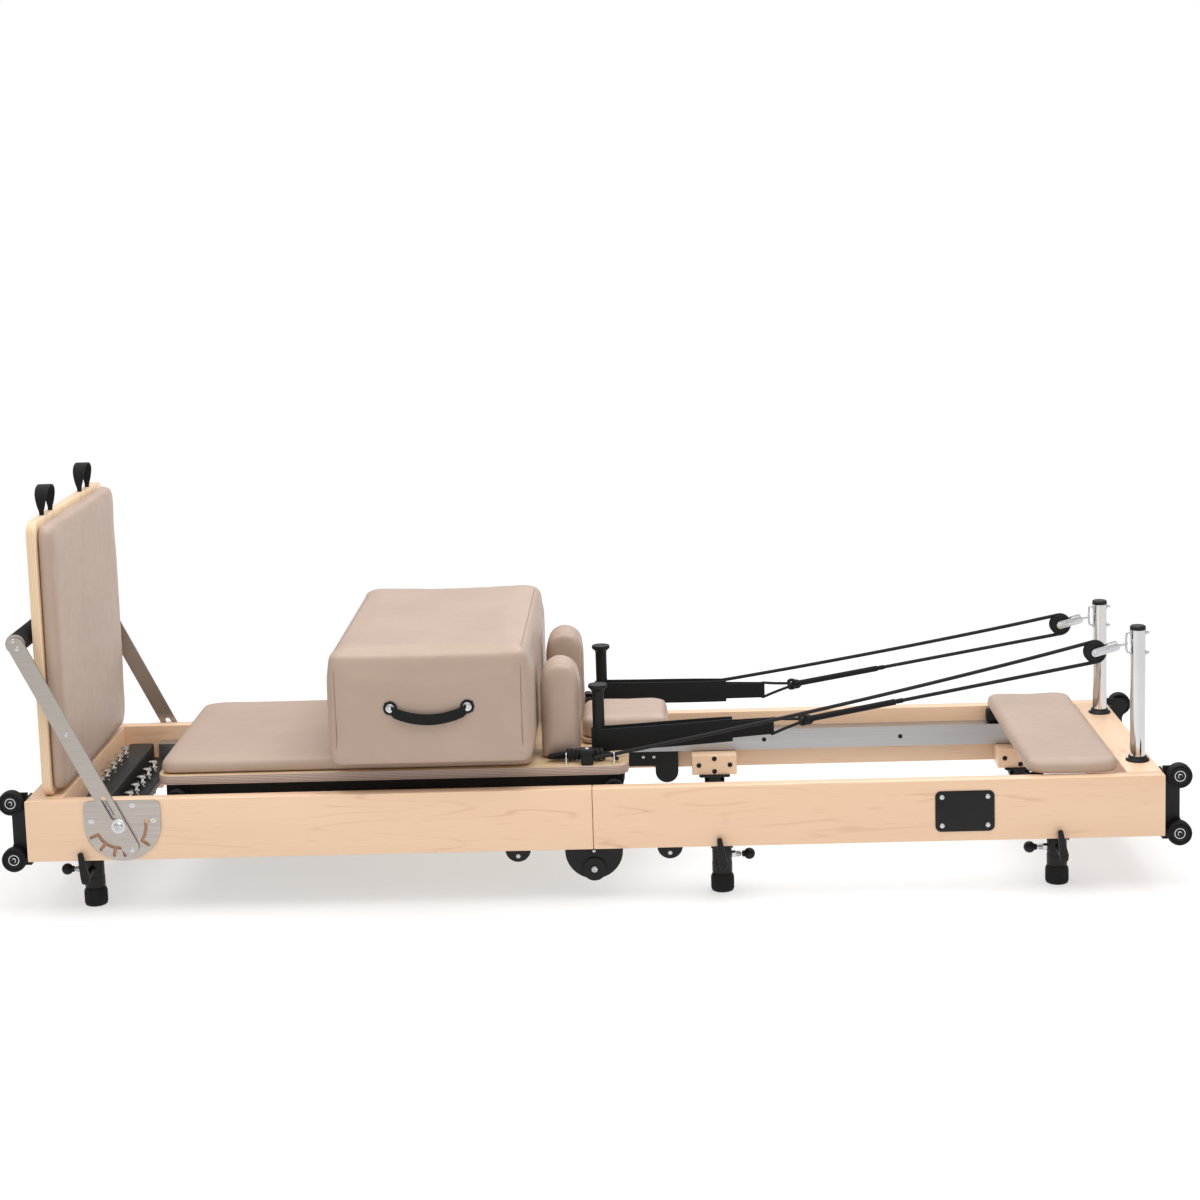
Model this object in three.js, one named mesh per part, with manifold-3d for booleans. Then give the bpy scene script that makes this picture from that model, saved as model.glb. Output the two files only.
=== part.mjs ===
import * as THREE from 'three';
import { mergeVertices } from 'three/addons/utils/BufferGeometryUtils.js';
import Module from 'manifold-3d';

// Folding pilates reformer. Millimetres, +Z up, +X from the footbar end to the pulley end, -Y is the
// front side. The origin is on the floor, under the middle of the fold line.

// Frame.
const HALF_LENGTH = 1190;
const HALF_WIDTH = 325;
const RAIL_THICK = 30;
const RAIL_BOTTOM = 118;
const RAIL_TOP = 249;
const SEAM_GAP = 0.5;
const BEAM_WIDTH = 74;
const FIT = 0.3;
const RAIL_INNER = HALF_WIDTH - RAIL_THICK;
const BEAM_INNER = HALF_LENGTH - BEAM_WIDTH;

// Leg blocks, sockets and feet.
const BLOCK = { length: 104, depth: 75, top: 165 };
const LEG_Y = 250;
const LEG_X = { left: -1069, mid: 270, right: 978 };
const SOCKET = { outer: 21, bore: 18, bottom: 40.3, plateX: 72, plateY: 72, plateThick: 4 };
const PLUNGER = { z: 78, nut: 7, nutLength: 19, stem: 4, ballReach: 58, ball: 12 };
const FOOT = { radius: 24.5, height: 40, edge: 2, stem: 17.4, stemTop: 104 };

// Aluminium tracks.
const TRACK = { depth: 38, bottom: 167, top: 214, wall: 4, leftStart: -1030, rightEnd: 1110 };

// Spring bar with its two rows of anchor pins.
const BAR = { x0: -1098, step: -1040, x1: -990, bottom: 165.3, ledge: 184, top: 218, halfSpan: 256 };
const PIN = { pitch: 62.5, stem: 4, disc: 7.5, cap: 8.5, height: 26 };
const PIN_ROWS = [
  { x: -1079, base: BAR.top },
  { x: -1016, base: BAR.ledge },
];

// Footbar and its side plates.
const PIVOT = { x: -992, z: 194 };
const PLATE = { centreX: -985, half: 81, top: 248, arcZ: 199, thick: 3 };
const SLOT_LEFT = { radius: 48, from: 204, to: 279, notches: [202, 231, 258, 278], reach: 65 };
const SLOT_RIGHT = { radius: 57, from: -36, to: 11, notches: [10, -35], reach: 74 };
const SLOT_WIDTH = 7;
const ARM = { width: 35, thick: 5, above: 452, below: 68, angle: 116.2, y: 329 };
const GRIP = { radius: 20.5, reach: 438 };

// Jumpboard.
const BOARD = { x0: -1157, x1: -1138, halfWidth: 300, top: 836, corner: 28 };
const LOOP = { y: 165, half: 38, height: 60, width: 15, thick: 2.6, root: 4, crown: 0.8 };
const BOARD_PAD = { x1: -1105, halfWidth: 298, bottom: 252, top: 834, corner: 30, edge: 12 };

// Fold hinge.
const HINGE = { pivotZ: 66.5, discZ: 106, disc: 61, reach: 187, lobe: 27, lobeZ: 112, leaf: 6, top: 165 };

// End wheels.
const WHEEL = { radius: 26, width: 22, x: 1222, upper: 243, lower: 120, y: 296, bore: 4.4, axle: 4 };

// Platform, posts and pulleys.
const PLATFORM = { x0: 905, x1: 1106, half: 308, thick: 30, corner: 34, edge: 9 };
const POST = { x: 1157, y: 205, radius: 16, top: { front: 542, back: 513 } };
const SHEAVE = { x: 1066, radius: 23, groove: 17.5, width: 18, z: { front: 486, back: 458 } };
const CHEEK = { gap: 1, thick: 2.5, half: 9, axle: 4, tilt: 15, reach: 52, shank: 5 };

// Carriage.
const DECK = { x0: -921, x1: 77, half: 265, bottom: 261, top: 281, corner: 28 };
const PAD = { x0: -920, x1: -121, half: 262, top: 315, corner: 30, edge: 9 };
const PEG = { x: 15, y: 190, radius: 12.5, cap: 20, top: 440, capThick: 7 };
const REST = { x0: -108, x1: -24, y0: 100, y1: 210, bottom: 283, top: 492, edge: 10 };
const HEADREST = { x0: -26, x1: 165, half: 98, bottom: 285, top: 341, corner: 26, edge: 9 };
const CHASSIS = { x0: -905, x1: 60, outer: 250, bar: 25, bottom: 235, top: 260.7 };
const ROLLER = { radius: 19.6, width: 18, y: 264, z: 234, xs: [-880, 45] };
const SPRING = { radius: 9, z: 247, x0: -890, x1: -560 };

// Sitting box.
const BOX = { x0: -546, x1: -117, y0: -360, y1: 360, bottom: 315.3, top: 560, corner: 20, edge: 14 };

// Ropes and straps.
const ROPE = { radius: 4, cleatX: -8, cleatY: 255, cleatZ: 293 };
const STRAP = { thick: 3.5, height: 50, end: 385, gap: 2.2 };
const STRAP_Z = { front: { peg: 320, end: 338 }, back: { peg: 331, end: 325 } };

const SIDES = [
  { name: 'front', sign: -1 },
  { name: 'back', sign: 1 },
];

const wasm = await Module();
wasm.setup();
const group = new THREE.Group();
group.name = 'pilates_reformer';

const rad = (degrees) => (degrees * Math.PI) / 180;

// Turns a closed three.js geometry into a solid for booleans.
function solid(geometry) {
  const bare = new THREE.BufferGeometry();
  bare.setAttribute('position', geometry.getAttribute('position'));
  if (geometry.index) bare.setIndex(geometry.index);
  const merged = mergeVertices(bare, 1e-3);
  const kept = [];
  const index = merged.index.array;
  for (let i = 0; i < index.length; i += 3) {
    const [a, b, c] = [index[i], index[i + 1], index[i + 2]];
    if (a !== b && b !== c && a !== c) kept.push(a, b, c);
  }
  return new wasm.Manifold(new wasm.Mesh({
    numProp: 3,
    vertProperties: new Float32Array(merged.getAttribute('position').array),
    triVerts: new Uint32Array(kept),
  }));
}

function join(...geometries) {
  return geometries.map(solid).reduce((a, b) => a.add(b));
}

function cut(body, ...tools) {
  return tools.map(solid).reduce((a, b) => a.subtract(b), body);
}

// Adds one named sub-part from a solid.
function add(name, body, material) {
  const mesh = body.getMesh();
  const geometry = new THREE.BufferGeometry();
  geometry.setAttribute('position', new THREE.BufferAttribute(new Float32Array(mesh.vertProperties), 3));
  geometry.setIndex(new THREE.BufferAttribute(new Uint32Array(mesh.triVerts), 1));
  geometry.computeVertexNormals();
  const [color, roughness, metalness] = material;
  const part = new THREE.Mesh(geometry, new THREE.MeshStandardMaterial({ color, roughness, metalness }));
  part.name = name;
  group.add(part);
}

const MAPLE = [0xecceac, 0.45, 0];
const PLYWOOD = [0xdcb48c, 0.5, 0];
const LEATHER = [0xcdb4a0, 0.55, 0];
const BLACK_STEEL = [0x1e1e20, 0.45, 0.3];
const BLACK_RUBBER = [0x161617, 0.7, 0];
const ALUMINIUM = [0xb9bcc0, 0.35, 0.9];
const STAINLESS = [0xb0aca6, 0.3, 1];
const CHROME = [0xd8d8da, 0.12, 1];
const WEBBING = [0x121213, 0.85, 0];

// A block between two values on each axis.
function block(x0, x1, y0, y1, z0, z1) {
  const g = new THREE.BoxGeometry(x1 - x0, y1 - y0, z1 - z0);
  return g.translate((x0 + x1) / 2, (y0 + y1) / 2, (z0 + z1) / 2);
}

// A block whose two Y limits are given as distances from the middle, on one side.
function sideBlock(sign, x0, x1, near, far, z0, z1) {
  const [a, b] = sign > 0 ? [near, far] : [-far, -near];
  return block(x0, x1, a, b, z0, z1);
}

function rodX(x0, x1, y, z, r, segments = 20) {
  return new THREE.CylinderGeometry(r, r, x1 - x0, segments).rotateZ(Math.PI / 2).translate((x0 + x1) / 2, y, z);
}

function rodY(x, y0, y1, z, r, segments = 20) {
  return new THREE.CylinderGeometry(r, r, y1 - y0, segments).translate(x, (y0 + y1) / 2, z);
}

function rodZ(x, y, z0, z1, r, segments = 24) {
  return new THREE.CylinderGeometry(r, r, z1 - z0, segments).rotateX(Math.PI / 2).translate(x, y, (z0 + z1) / 2);
}

// A rod along Y on one side, between two distances from the middle.
function sideRod(sign, x, near, far, z, r, segments = 20) {
  const [a, b] = sign > 0 ? [near, far] : [-far, -near];
  return rodY(x, a, b, z, r, segments);
}

function roundedRect(x0, x1, y0, y1, r) {
  const s = new THREE.Shape();
  s.moveTo(x0 + r, y0);
  s.lineTo(x1 - r, y0);
  s.absarc(x1 - r, y0 + r, r, -Math.PI / 2, 0);
  s.lineTo(x1, y1 - r);
  s.absarc(x1 - r, y1 - r, r, 0, Math.PI / 2);
  s.lineTo(x0 + r, y1);
  s.absarc(x0 + r, y1 - r, r, Math.PI / 2, Math.PI);
  s.lineTo(x0, y0 + r);
  s.absarc(x0 + r, y0 + r, r, Math.PI, 1.5 * Math.PI);
  return s;
}

// A shape drawn in X and Z, made a plate between two distances from the middle on one side.
function sidePlate(sign, shape, near, far, curveSegments = 12) {
  const g = new THREE.ExtrudeGeometry(shape, { depth: far - near, bevelEnabled: false, curveSegments });
  return g.rotateX(Math.PI / 2).translate(0, sign > 0 ? far : -near, 0);
}

// A slab lying in X and Y, with its upper and lower edges rounded by the edge radius.
function cushion(x0, x1, y0, y1, z0, z1, corner, edge, curveSegments = 3) {
  const shape = roundedRect(x0 + edge, x1 - edge, y0 + edge, y1 - edge, Math.max(corner - edge, 2));
  const g = new THREE.ExtrudeGeometry(shape, {
    depth: z1 - z0 - 2 * edge,
    bevelThickness: edge,
    bevelSize: edge,
    bevelSegments: 2,
    curveSegments,
  });
  return g.translate(0, 0, z0 + edge);
}

// A turned part about the Y axis, from (radius, height) pairs that start and end on the axis.
function turnedY(pairs, segments = 20) {
  return new THREE.LatheGeometry(pairs.map(([r, h]) => new THREE.Vector2(r, h)), segments);
}

function turnedZ(pairs, segments = 16) {
  return turnedY(pairs, segments).rotateX(Math.PI / 2);
}

function legBlock(sign, x) {
  const [a, b] = [Math.max(x - BLOCK.length / 2, -BEAM_INNER + FIT), x + BLOCK.length / 2];
  return sideBlock(sign, a, b, RAIL_INNER - BLOCK.depth, RAIL_INNER + 1, RAIL_BOTTOM, BLOCK.top);
}

// A wooden side rail with the leg blocks glued to its inner face.
function rail(name, sign, x0, x1, legs) {
  const beam = sideBlock(sign, x0, x1, RAIL_INNER, HALF_WIDTH, RAIL_BOTTOM, RAIL_TOP);
  add(name, join(beam, ...legs.map((x) => legBlock(sign, x))), MAPLE);
}

function endBeam(name, x0, x1) {
  const half = RAIL_INNER - FIT;
  add(name, solid(block(x0, x1, -half, half, RAIL_BOTTOM, RAIL_TOP)), MAPLE);
}

// A channel that opens downwards, on the inner face of a rail.
function track(name, sign, x0, x1) {
  const near = RAIL_INNER - TRACK.depth;
  const far = RAIL_INNER - FIT;
  const body = solid(sideBlock(sign, x0, x1, near, far, TRACK.bottom, TRACK.top));
  const hollow = sideBlock(sign, x0 - 1, x1 + 1, near + TRACK.wall, far - TRACK.wall,
    TRACK.bottom - 1, TRACK.top - TRACK.wall);
  add(name, cut(body, hollow), ALUMINIUM);
}

function socket(name, sign, x, knobSide) {
  const plateTop = RAIL_BOTTOM - FIT;
  const y = sign * LEG_Y;
  const plate = block(x - SOCKET.plateX / 2, x + SOCKET.plateX / 2, y - SOCKET.plateY / 2,
    y + SOCKET.plateY / 2, plateTop - SOCKET.plateThick, plateTop);
  const tube = rodZ(x, y, SOCKET.bottom, plateTop - 1, SOCKET.outer, 20);
  const nutX = [x + knobSide * (SOCKET.outer - 2), x + knobSide * (SOCKET.outer + PLUNGER.nutLength)];
  const nut = rodX(Math.min(...nutX), Math.max(...nutX), y, PLUNGER.z, PLUNGER.nut, 6);
  const stemX = [x + knobSide * SOCKET.outer, x + knobSide * PLUNGER.ballReach];
  const stem = rodX(Math.min(...stemX), Math.max(...stemX), y, PLUNGER.z, PLUNGER.stem, 6);
  const ball = new THREE.SphereGeometry(PLUNGER.ball, 10, 7);
  ball.translate(x + knobSide * PLUNGER.ballReach, y, PLUNGER.z);
  const body = join(plate, tube, nut, stem, ball, clampHub(sign, x), clampLever(sign, x));
  add(name, cut(body, rodZ(x, y, SOCKET.bottom - 1, plateTop - SOCKET.plateThick, SOCKET.bore, 16)),
    BLACK_STEEL);
}

function clampHub(sign, x) {
  return sideRod(sign, x, LEG_Y + SOCKET.outer - 1.5, HALF_WIDTH + 13, PLUNGER.z + 4, 7, 8);
}

// The clamping lever stands on its hub, in front of the rail's outer face.
function clampLever(sign, x) {
  const shape = new THREE.Shape();
  shape.moveTo(x - 7, PLUNGER.z - 4);
  shape.lineTo(x + 7, PLUNGER.z - 4);
  shape.lineTo(x + 8, PLUNGER.z + 10);
  shape.lineTo(x - 3, PLUNGER.z + 60);
  shape.lineTo(x - 12, PLUNGER.z + 60);
  shape.lineTo(x - 9, PLUNGER.z + 10);
  return sidePlate(sign, shape, HALF_WIDTH + 4, HALF_WIDTH + 13);
}

// A foot on a stem that slides in its socket.
function foot(name, sign, x) {
  const { radius: r, height: h, edge: e } = FOOT;
  const body = turnedZ([[0, 0], [r - e, 0], [r, e], [r, h - e], [r - e, h], [0, h]], 20);
  const stem = rodZ(0, 0, h - 2, FOOT.stemTop, FOOT.stem, 14);
  add(name, join(body, stem).translate([x, sign * LEG_Y, 0]), BLACK_RUBBER);
}

// An anchor pin with a disc at its waist and a cap on top.
function pin({ x, base }, y) {
  const h = PIN.height;
  const g = turnedZ([[0, -3], [PIN.stem, -3], [PIN.stem, h * 0.4], [PIN.disc, h * 0.42], [PIN.stem, h * 0.55],
    [PIN.stem, h * 0.8], [PIN.cap, h * 0.86], [0, h]], 8);
  return g.translate(x, y, base);
}

function springBar() {
  const tall = block(BAR.x0, BAR.step, -BAR.halfSpan, BAR.halfSpan, BAR.bottom, BAR.top);
  const ledge = block(BAR.step - 1, BAR.x1, -BAR.halfSpan, BAR.halfSpan, BAR.bottom, BAR.ledge);
  const pins = PIN_ROWS.flatMap((row) => [-2, -1, 0, 1, 2].map((i) => pin(row, i * PIN.pitch)));
  add('spring_bar', join(tall, ledge, ...pins), BLACK_STEEL);
}

function ringPoint(radius, degrees) {
  return [PIVOT.x + radius * Math.cos(rad(degrees)), PIVOT.z + radius * Math.sin(rad(degrees))];
}

// A rounded slot from one point to another, drawn in X and Z.
function slotShape([x0, z0], [x1, z1], width) {
  const a = Math.atan2(z1 - z0, x1 - x0);
  const s = new THREE.Shape();
  s.absarc(x0, z0, width / 2, a + Math.PI / 2, a + 1.5 * Math.PI);
  s.absarc(x1, z1, width / 2, a - Math.PI / 2, a + Math.PI / 2);
  return s;
}

// One curved index slot with notches that reach outwards.
function indexSlot(sign, slot) {
  const steps = Math.round(Math.abs(slot.to - slot.from) / 15);
  const angles = Array.from({ length: steps + 1 }, (_, i) => slot.from + ((slot.to - slot.from) * i) / steps);
  const shape = new THREE.Shape();
  angles.forEach((a, i) => {
    const point = ringPoint(slot.radius - SLOT_WIDTH / 2, a);
    if (i === 0) shape.moveTo(...point);
    else shape.lineTo(...point);
  });
  [...angles].reverse().forEach((a) => shape.lineTo(...ringPoint(slot.radius + SLOT_WIDTH / 2, a)));
  const notches = slot.notches.map((a) => {
    const ends = slotShape(ringPoint(slot.radius, a), ringPoint(slot.reach, a), SLOT_WIDTH);
    return sidePlate(sign, ends, HALF_WIDTH - 2, HALF_WIDTH + 6, 2);
  });
  return [sidePlate(sign, shape, HALF_WIDTH - 2, HALF_WIDTH + 6), ...notches];
}

function footbarPlate(name, sign) {
  const { centreX: x, half, top, arcZ } = PLATE;
  const s = new THREE.Shape();
  s.moveTo(x + half, arcZ);
  s.lineTo(x + half, top - 14);
  s.absarc(x + half - 14, top - 14, 14, 0, Math.PI / 2);
  s.lineTo(x - half + 14, top);
  s.absarc(x - half + 14, top - 14, 14, Math.PI / 2, Math.PI);
  s.lineTo(x - half, arcZ);
  s.absarc(x, arcZ, half, Math.PI, 2 * Math.PI);
  const plate = solid(sidePlate(sign, s, HALF_WIDTH + FIT, HALF_WIDTH + FIT + PLATE.thick, 10));
  add(name, cut(plate, ...indexSlot(sign, SLOT_LEFT), ...indexSlot(sign, SLOT_RIGHT)), STAINLESS);
}

function alongArm(distance) {
  return ringPoint(distance, ARM.angle);
}

function footbarArm(sign) {
  const outline = slotShape(alongArm(-ARM.below + ARM.width / 2), alongArm(ARM.above - ARM.width / 2), ARM.width);
  const arm = solid(sidePlate(sign, outline, ARM.y, ARM.y + ARM.thick, 5));
  const guide = slotShape(alongArm(22), alongArm(66), 11);
  return cut(arm, sidePlate(sign, guide, ARM.y - 2, ARM.y + ARM.thick + 2, 3));
}

function footbar() {
  const [x, z] = alongArm(GRIP.reach);
  const bar = solid(rodY(x, -ARM.y - 1, ARM.y + 1, z, GRIP.radius, 24));
  add('footbar_frame', bar.add(footbarArm(-1)).add(footbarArm(1)), STAINLESS);
}

function loopHalf(half, height) {
  const crown = 12;
  const steps = Array.from({ length: crown + 1 }, (_, i) => (Math.PI * i) / crown);
  const straight = height - half * LOOP.crown;
  const arc = steps.map((a) => [half * Math.cos(a), straight + half * LOOP.crown * Math.sin(a)]);
  return [[half, -LOOP.root], ...arc, [-half, -LOOP.root]];
}

function carryingLoop(y) {
  const outer = loopHalf(LOOP.half, LOOP.height);
  const inner = loopHalf(LOOP.half - LOOP.thick, LOOP.height - LOOP.thick).reverse();
  const band = new THREE.Shape([...outer, ...inner].map(([u, v]) => new THREE.Vector2(u, v)));
  const loop = new THREE.ExtrudeGeometry(band, { depth: LOOP.width, bevelEnabled: false });
  loop.rotateX(Math.PI / 2).rotateZ(Math.PI / 2);
  loop.translate((BOARD.x0 + BOARD.x1 - LOOP.width) / 2, y, BOARD.top);
  return solid(loop);
}

function jumpboard() {
  const face = roundedRect(-BOARD.halfWidth, BOARD.halfWidth, RAIL_TOP + FIT, BOARD.top, BOARD.corner);
  const panel = new THREE.ExtrudeGeometry(face, { depth: BOARD.x1 - BOARD.x0, bevelEnabled: false, curveSegments: 5 });
  panel.rotateX(Math.PI / 2).rotateZ(Math.PI / 2).translate(BOARD.x0, 0, 0);
  const loops = [-LOOP.y, LOOP.y].map((y) => carryingLoop(y));
  add('jumpboard_panel', solid(panel).add(loops[0]).add(loops[1]), PLYWOOD);
  const { halfWidth, bottom, top, corner, edge, x1 } = BOARD_PAD;
  const pad = cushion(-top, -bottom, -halfWidth, halfWidth, BOARD.x1 + FIT, x1, corner, edge);
  pad.rotateY(Math.PI / 2);
  add('jumpboard_pad', solid(pad), LEATHER);
}

function leafLobe(sign, x, near, far) {
  return sideRod(sign, x, near, far, HINGE.lobeZ, HINGE.lobe, 24);
}

function leafArm(sign, side, x0, x1, near, far) {
  const ends = [side * x0, side * x1];
  return sideBlock(sign, Math.min(...ends), Math.max(...ends), near, far, HINGE.lobeZ + 14, HINGE.top);
}

// The left leaf carries the full disc that shows under the seam, and the hinge pin.
function leftLeaf(name, sign) {
  const far = RAIL_INNER - FIT;
  const near = far - HINGE.leaf;
  const disc = sideRod(sign, 0, near, far, HINGE.discZ, HINGE.disc, 36);
  const tail = sideBlock(sign, -HINGE.reach, -HINGE.reach + 2 * HINGE.lobe, near, far, HINGE.lobeZ, HINGE.top);
  const bolt = sideRod(sign, 0, near - 14, near + 1, HINGE.pivotZ, 7.5, 16);
  const body = join(disc, leafArm(sign, -1, 0, HINGE.reach, near, far), tail, bolt,
    leafLobe(sign, -HINGE.reach + HINGE.lobe, near, far));
  add(name, body, BLACK_STEEL);
}

// The right leaf runs beside the left one, and is thick where it is bolted to its rail.
function rightLeaf(name, sign) {
  const far = RAIL_INNER - FIT - HINGE.leaf - FIT;
  const near = far - HINGE.leaf;
  const eye = sideRod(sign, 0, near, far, HINGE.pivotZ, 20, 24);
  const link = new THREE.Shape();
  link.moveTo(18, HINGE.pivotZ - 6);
  link.lineTo(46, HINGE.lobeZ + 14);
  link.lineTo(110, HINGE.lobeZ + 14);
  link.lineTo(110, HINGE.top);
  link.lineTo(20, HINGE.top);
  link.lineTo(-18, HINGE.pivotZ + 6);
  const inner = sidePlate(sign, link, near, far);
  const pad = leafArm(sign, 1, 76, HINGE.reach, near, RAIL_INNER - FIT);
  const tail = sideBlock(sign, HINGE.reach - 2 * HINGE.lobe, HINGE.reach, near, RAIL_INNER - FIT,
    HINGE.lobeZ, HINGE.top);
  const body = join(eye, inner, pad, tail, leafLobe(sign, HINGE.reach - HINGE.lobe, near, RAIL_INNER - FIT));
  add(name, cut(body, sideRod(sign, 0, near - 2, far + 2, HINGE.pivotZ, 7.9, 16)), BLACK_STEEL);
}

// A bracket on an end face that holds two wheels on its outer side.
function wheelBracket(name, sign, side) {
  const face = HALF_LENGTH + FIT;
  const [y1, y0] = [WHEEL.y - 1, WHEEL.y - 7];
  const shape = new THREE.Shape();
  const [x, tip] = [WHEEL.x, WHEEL.radius - 9];
  shape.moveTo(face, WHEEL.lower - tip);
  shape.lineTo(x, WHEEL.lower - tip);
  shape.absarc(x, WHEEL.lower, tip, -Math.PI / 2, 0);
  shape.lineTo(x + 4, WHEEL.lower + 30);
  shape.lineTo(x + 4, WHEEL.upper - 30);
  shape.lineTo(x + tip, WHEEL.upper);
  shape.absarc(x, WHEEL.upper, tip, 0, Math.PI / 2);
  shape.lineTo(face, WHEEL.upper + tip);
  const web = solid(sidePlate(sign, shape, y0, y1, 6));
  const flange = solid(sideBlock(sign, face, face + 4, y0 - 34, y1, WHEEL.lower - tip, RAIL_TOP));
  const axles = [WHEEL.lower, WHEEL.upper].map((z) => sideRod(sign, x, y1 - 1, WHEEL.y + WHEEL.width + 3, z, WHEEL.axle, 8));
  const body = web.add(flange).add(join(...axles));
  add(name, side > 0 ? body : body.mirror([1, 0, 0]), BLACK_STEEL);
}

function endWheel(name, sign, side, z) {
  const [r, w] = [WHEEL.radius, WHEEL.width];
  const wheel = turnedY([[0, 0], [r - 3, 0], [r, 3], [r, w - 3], [r - 3, w], [0, w]], 24);
  if (sign < 0) wheel.rotateX(Math.PI);
  wheel.translate(side * WHEEL.x, sign * WHEEL.y, z);
  const bore = sideRod(sign, side * WHEEL.x, WHEEL.y - 2, WHEEL.y + w + 4, z, WHEEL.bore, 8);
  add(name, cut(solid(wheel), bore), BLACK_RUBBER);
}

function platform() {
  const { x0, x1, half, thick, corner, edge } = PLATFORM;
  const z0 = RAIL_TOP + FIT;
  add('platform_pad', solid(cushion(x0, x1, -half, half, z0, z0 + thick, corner, edge)), LEATHER);
}

function post(name, side) {
  add(name, solid(rodZ(POST.x, side.sign * POST.y, RAIL_TOP + FIT, POST.top[side.name], POST.radius, 32)), CHROME);
}

// A turned sheave with a round groove for the rope.
function sheave(name, side) {
  const [r, g, w] = [SHEAVE.radius, SHEAVE.groove, SHEAVE.width / 2];
  const profile = [[0, -w], [r, -w], [r, 2 - w], [g, -2], [g, 2], [r, w - 2], [r, w], [0, w]];
  const y = side.sign * POST.y;
  const z = SHEAVE.z[side.name];
  const wheel = turnedY(profile, 20).translate(SHEAVE.x, y, z);
  add(name, cut(solid(wheel), rodY(SHEAVE.x, y - w - 2, y + w + 2, z, CHEEK.axle + 0.4, 8)), BLACK_RUBBER);
}

// Two cheeks and a bow around the sheave, with an axle through it and a shank to the post.
function pulleyBlock(name, side) {
  const w = SHEAVE.width / 2 + CHEEK.gap;
  const outer = w + CHEEK.thick;
  const cheek = slotShape([0, 0], [CHEEK.reach - CHEEK.half, 0], 2 * CHEEK.half);
  const cheeks = [[-outer, -w], [w, outer]].map(([a, b]) => {
    const g = new THREE.ExtrudeGeometry(cheek, { depth: b - a, bevelEnabled: false, curveSegments: 4 });
    return g.rotateX(Math.PI / 2).translate(0, b, 0);
  });
  const bow = block(SHEAVE.radius + 4, CHEEK.reach - 4, -outer + 0.5, outer - 0.5, -CHEEK.half + 1, CHEEK.half - 1);
  const axle = rodY(0, -outer - 1.5, outer + 1.5, 0, CHEEK.axle, 8);
  const shank = rodX(CHEEK.reach - 6, CHEEK.reach + 14, 0, 0, CHEEK.shank, 8);
  const body = join(...cheeks, bow, axle, shank).rotate([0, -CHEEK.tilt, 0]);
  add(name, body.translate([SHEAVE.x, side.sign * POST.y, SHEAVE.z[side.name]]), CHROME);
}

function deck() {
  const shape = roundedRect(DECK.x0, DECK.x1, -DECK.half, DECK.half, DECK.corner);
  const slab = new THREE.ExtrudeGeometry(shape, { depth: DECK.top - DECK.bottom, bevelEnabled: false, curveSegments: 6 });
  slab.translate(0, 0, DECK.bottom);
  const holes = [-1, 1].map((s) => rodZ(PEG.x, s * PEG.y, DECK.bottom - 1, DECK.top + 1, PEG.radius + 0.4, 20));
  add('carriage_deck', cut(solid(slab), ...holes), PLYWOOD);
}

function peg(sign) {
  const { radius: r, cap, top, capThick: t } = PEG;
  const base = CHASSIS.top - 4;
  const g = turnedZ([[0, base], [r, base], [r, top - 2.2 * t], [cap, top - t], [cap, top - 0.3 * t],
    [cap - 4, top], [0, top]], 20);
  return g.translate(PEG.x, sign * PEG.y, 0);
}

// The steel underframe with its rollers, the parked springs and the two rope pegs.
function chassis() {
  const { x0, x1, outer, bar, bottom, top } = CHASSIS;
  const sides = [-1, 1].map((s) => sideBlock(s, x0, x1, outer - bar, outer, bottom, top));
  const crossings = [x0, SPRING.x1 - 6, -8].map((x) => block(x, x + 34, -outer + 1, outer - 1, bottom, top));
  const rollers = [-1, 1].flatMap((s) => ROLLER.xs.flatMap((x) => [
    sideRod(s, x, ROLLER.y, ROLLER.y + ROLLER.width, ROLLER.z, ROLLER.radius, 16),
    sideRod(s, x, outer - 2, ROLLER.y + 1, ROLLER.z, 7, 8),
    sideBlock(s, x - 20, x + 20, outer - 2, outer + 5, ROLLER.z - 9, top),
  ]));
  const springs = [-2, -1, 0, 1, 2].map((i) => rodX(SPRING.x0, SPRING.x1, i * PIN.pitch, SPRING.z, SPRING.radius, 8));
  add('carriage_chassis', join(...sides, ...crossings, ...rollers, ...springs, peg(-1), peg(1)), BLACK_STEEL);
}

function carriagePad() {
  const { x0, x1, half, top, corner, edge } = PAD;
  add('carriage_pad', solid(cushion(x0, x1, -half, half, DECK.top + FIT, top, corner, edge)), LEATHER);
}

// A shoulder rest: its side outline has a round top, and its faces have soft edges.
function shoulderRest(name, sign) {
  const { x0, x1, y0, y1, bottom, top, edge } = REST;
  const r = (x1 - x0) / 2 - edge;
  const s = new THREE.Shape();
  s.moveTo(x0 + edge, bottom + edge);
  s.lineTo(x1 - edge, bottom + edge);
  s.lineTo(x1 - edge, top - edge - r);
  s.absarc((x0 + x1) / 2, top - edge - r, r, 0, Math.PI);
  const g = new THREE.ExtrudeGeometry(s, {
    depth: y1 - y0 - 2 * edge, bevelThickness: edge, bevelSize: edge, bevelSegments: 2, curveSegments: 7,
  });
  g.rotateX(Math.PI / 2).translate(0, sign > 0 ? y1 - edge : -y0 - edge, 0);
  add(name, solid(g), LEATHER);
}

function headrest() {
  const { x0, x1, half, bottom, top, corner, edge } = HEADREST;
  add('headrest', solid(cushion(x0, x1, -half, half, bottom, top, corner, edge)), LEATHER);
}

function sittingBox() {
  const { x0, x1, y0, y1, bottom, top, corner, edge } = BOX;
  add('sitting_box', solid(cushion(x0, x1, y0, y1, bottom, top, corner, edge)), LEATHER);
}

// A curve whose steps follow its control points, so that tight bends get their share.
class Route extends THREE.CatmullRomCurve3 {
  getUtoTmapping(u) {
    return u;
  }
}

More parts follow.
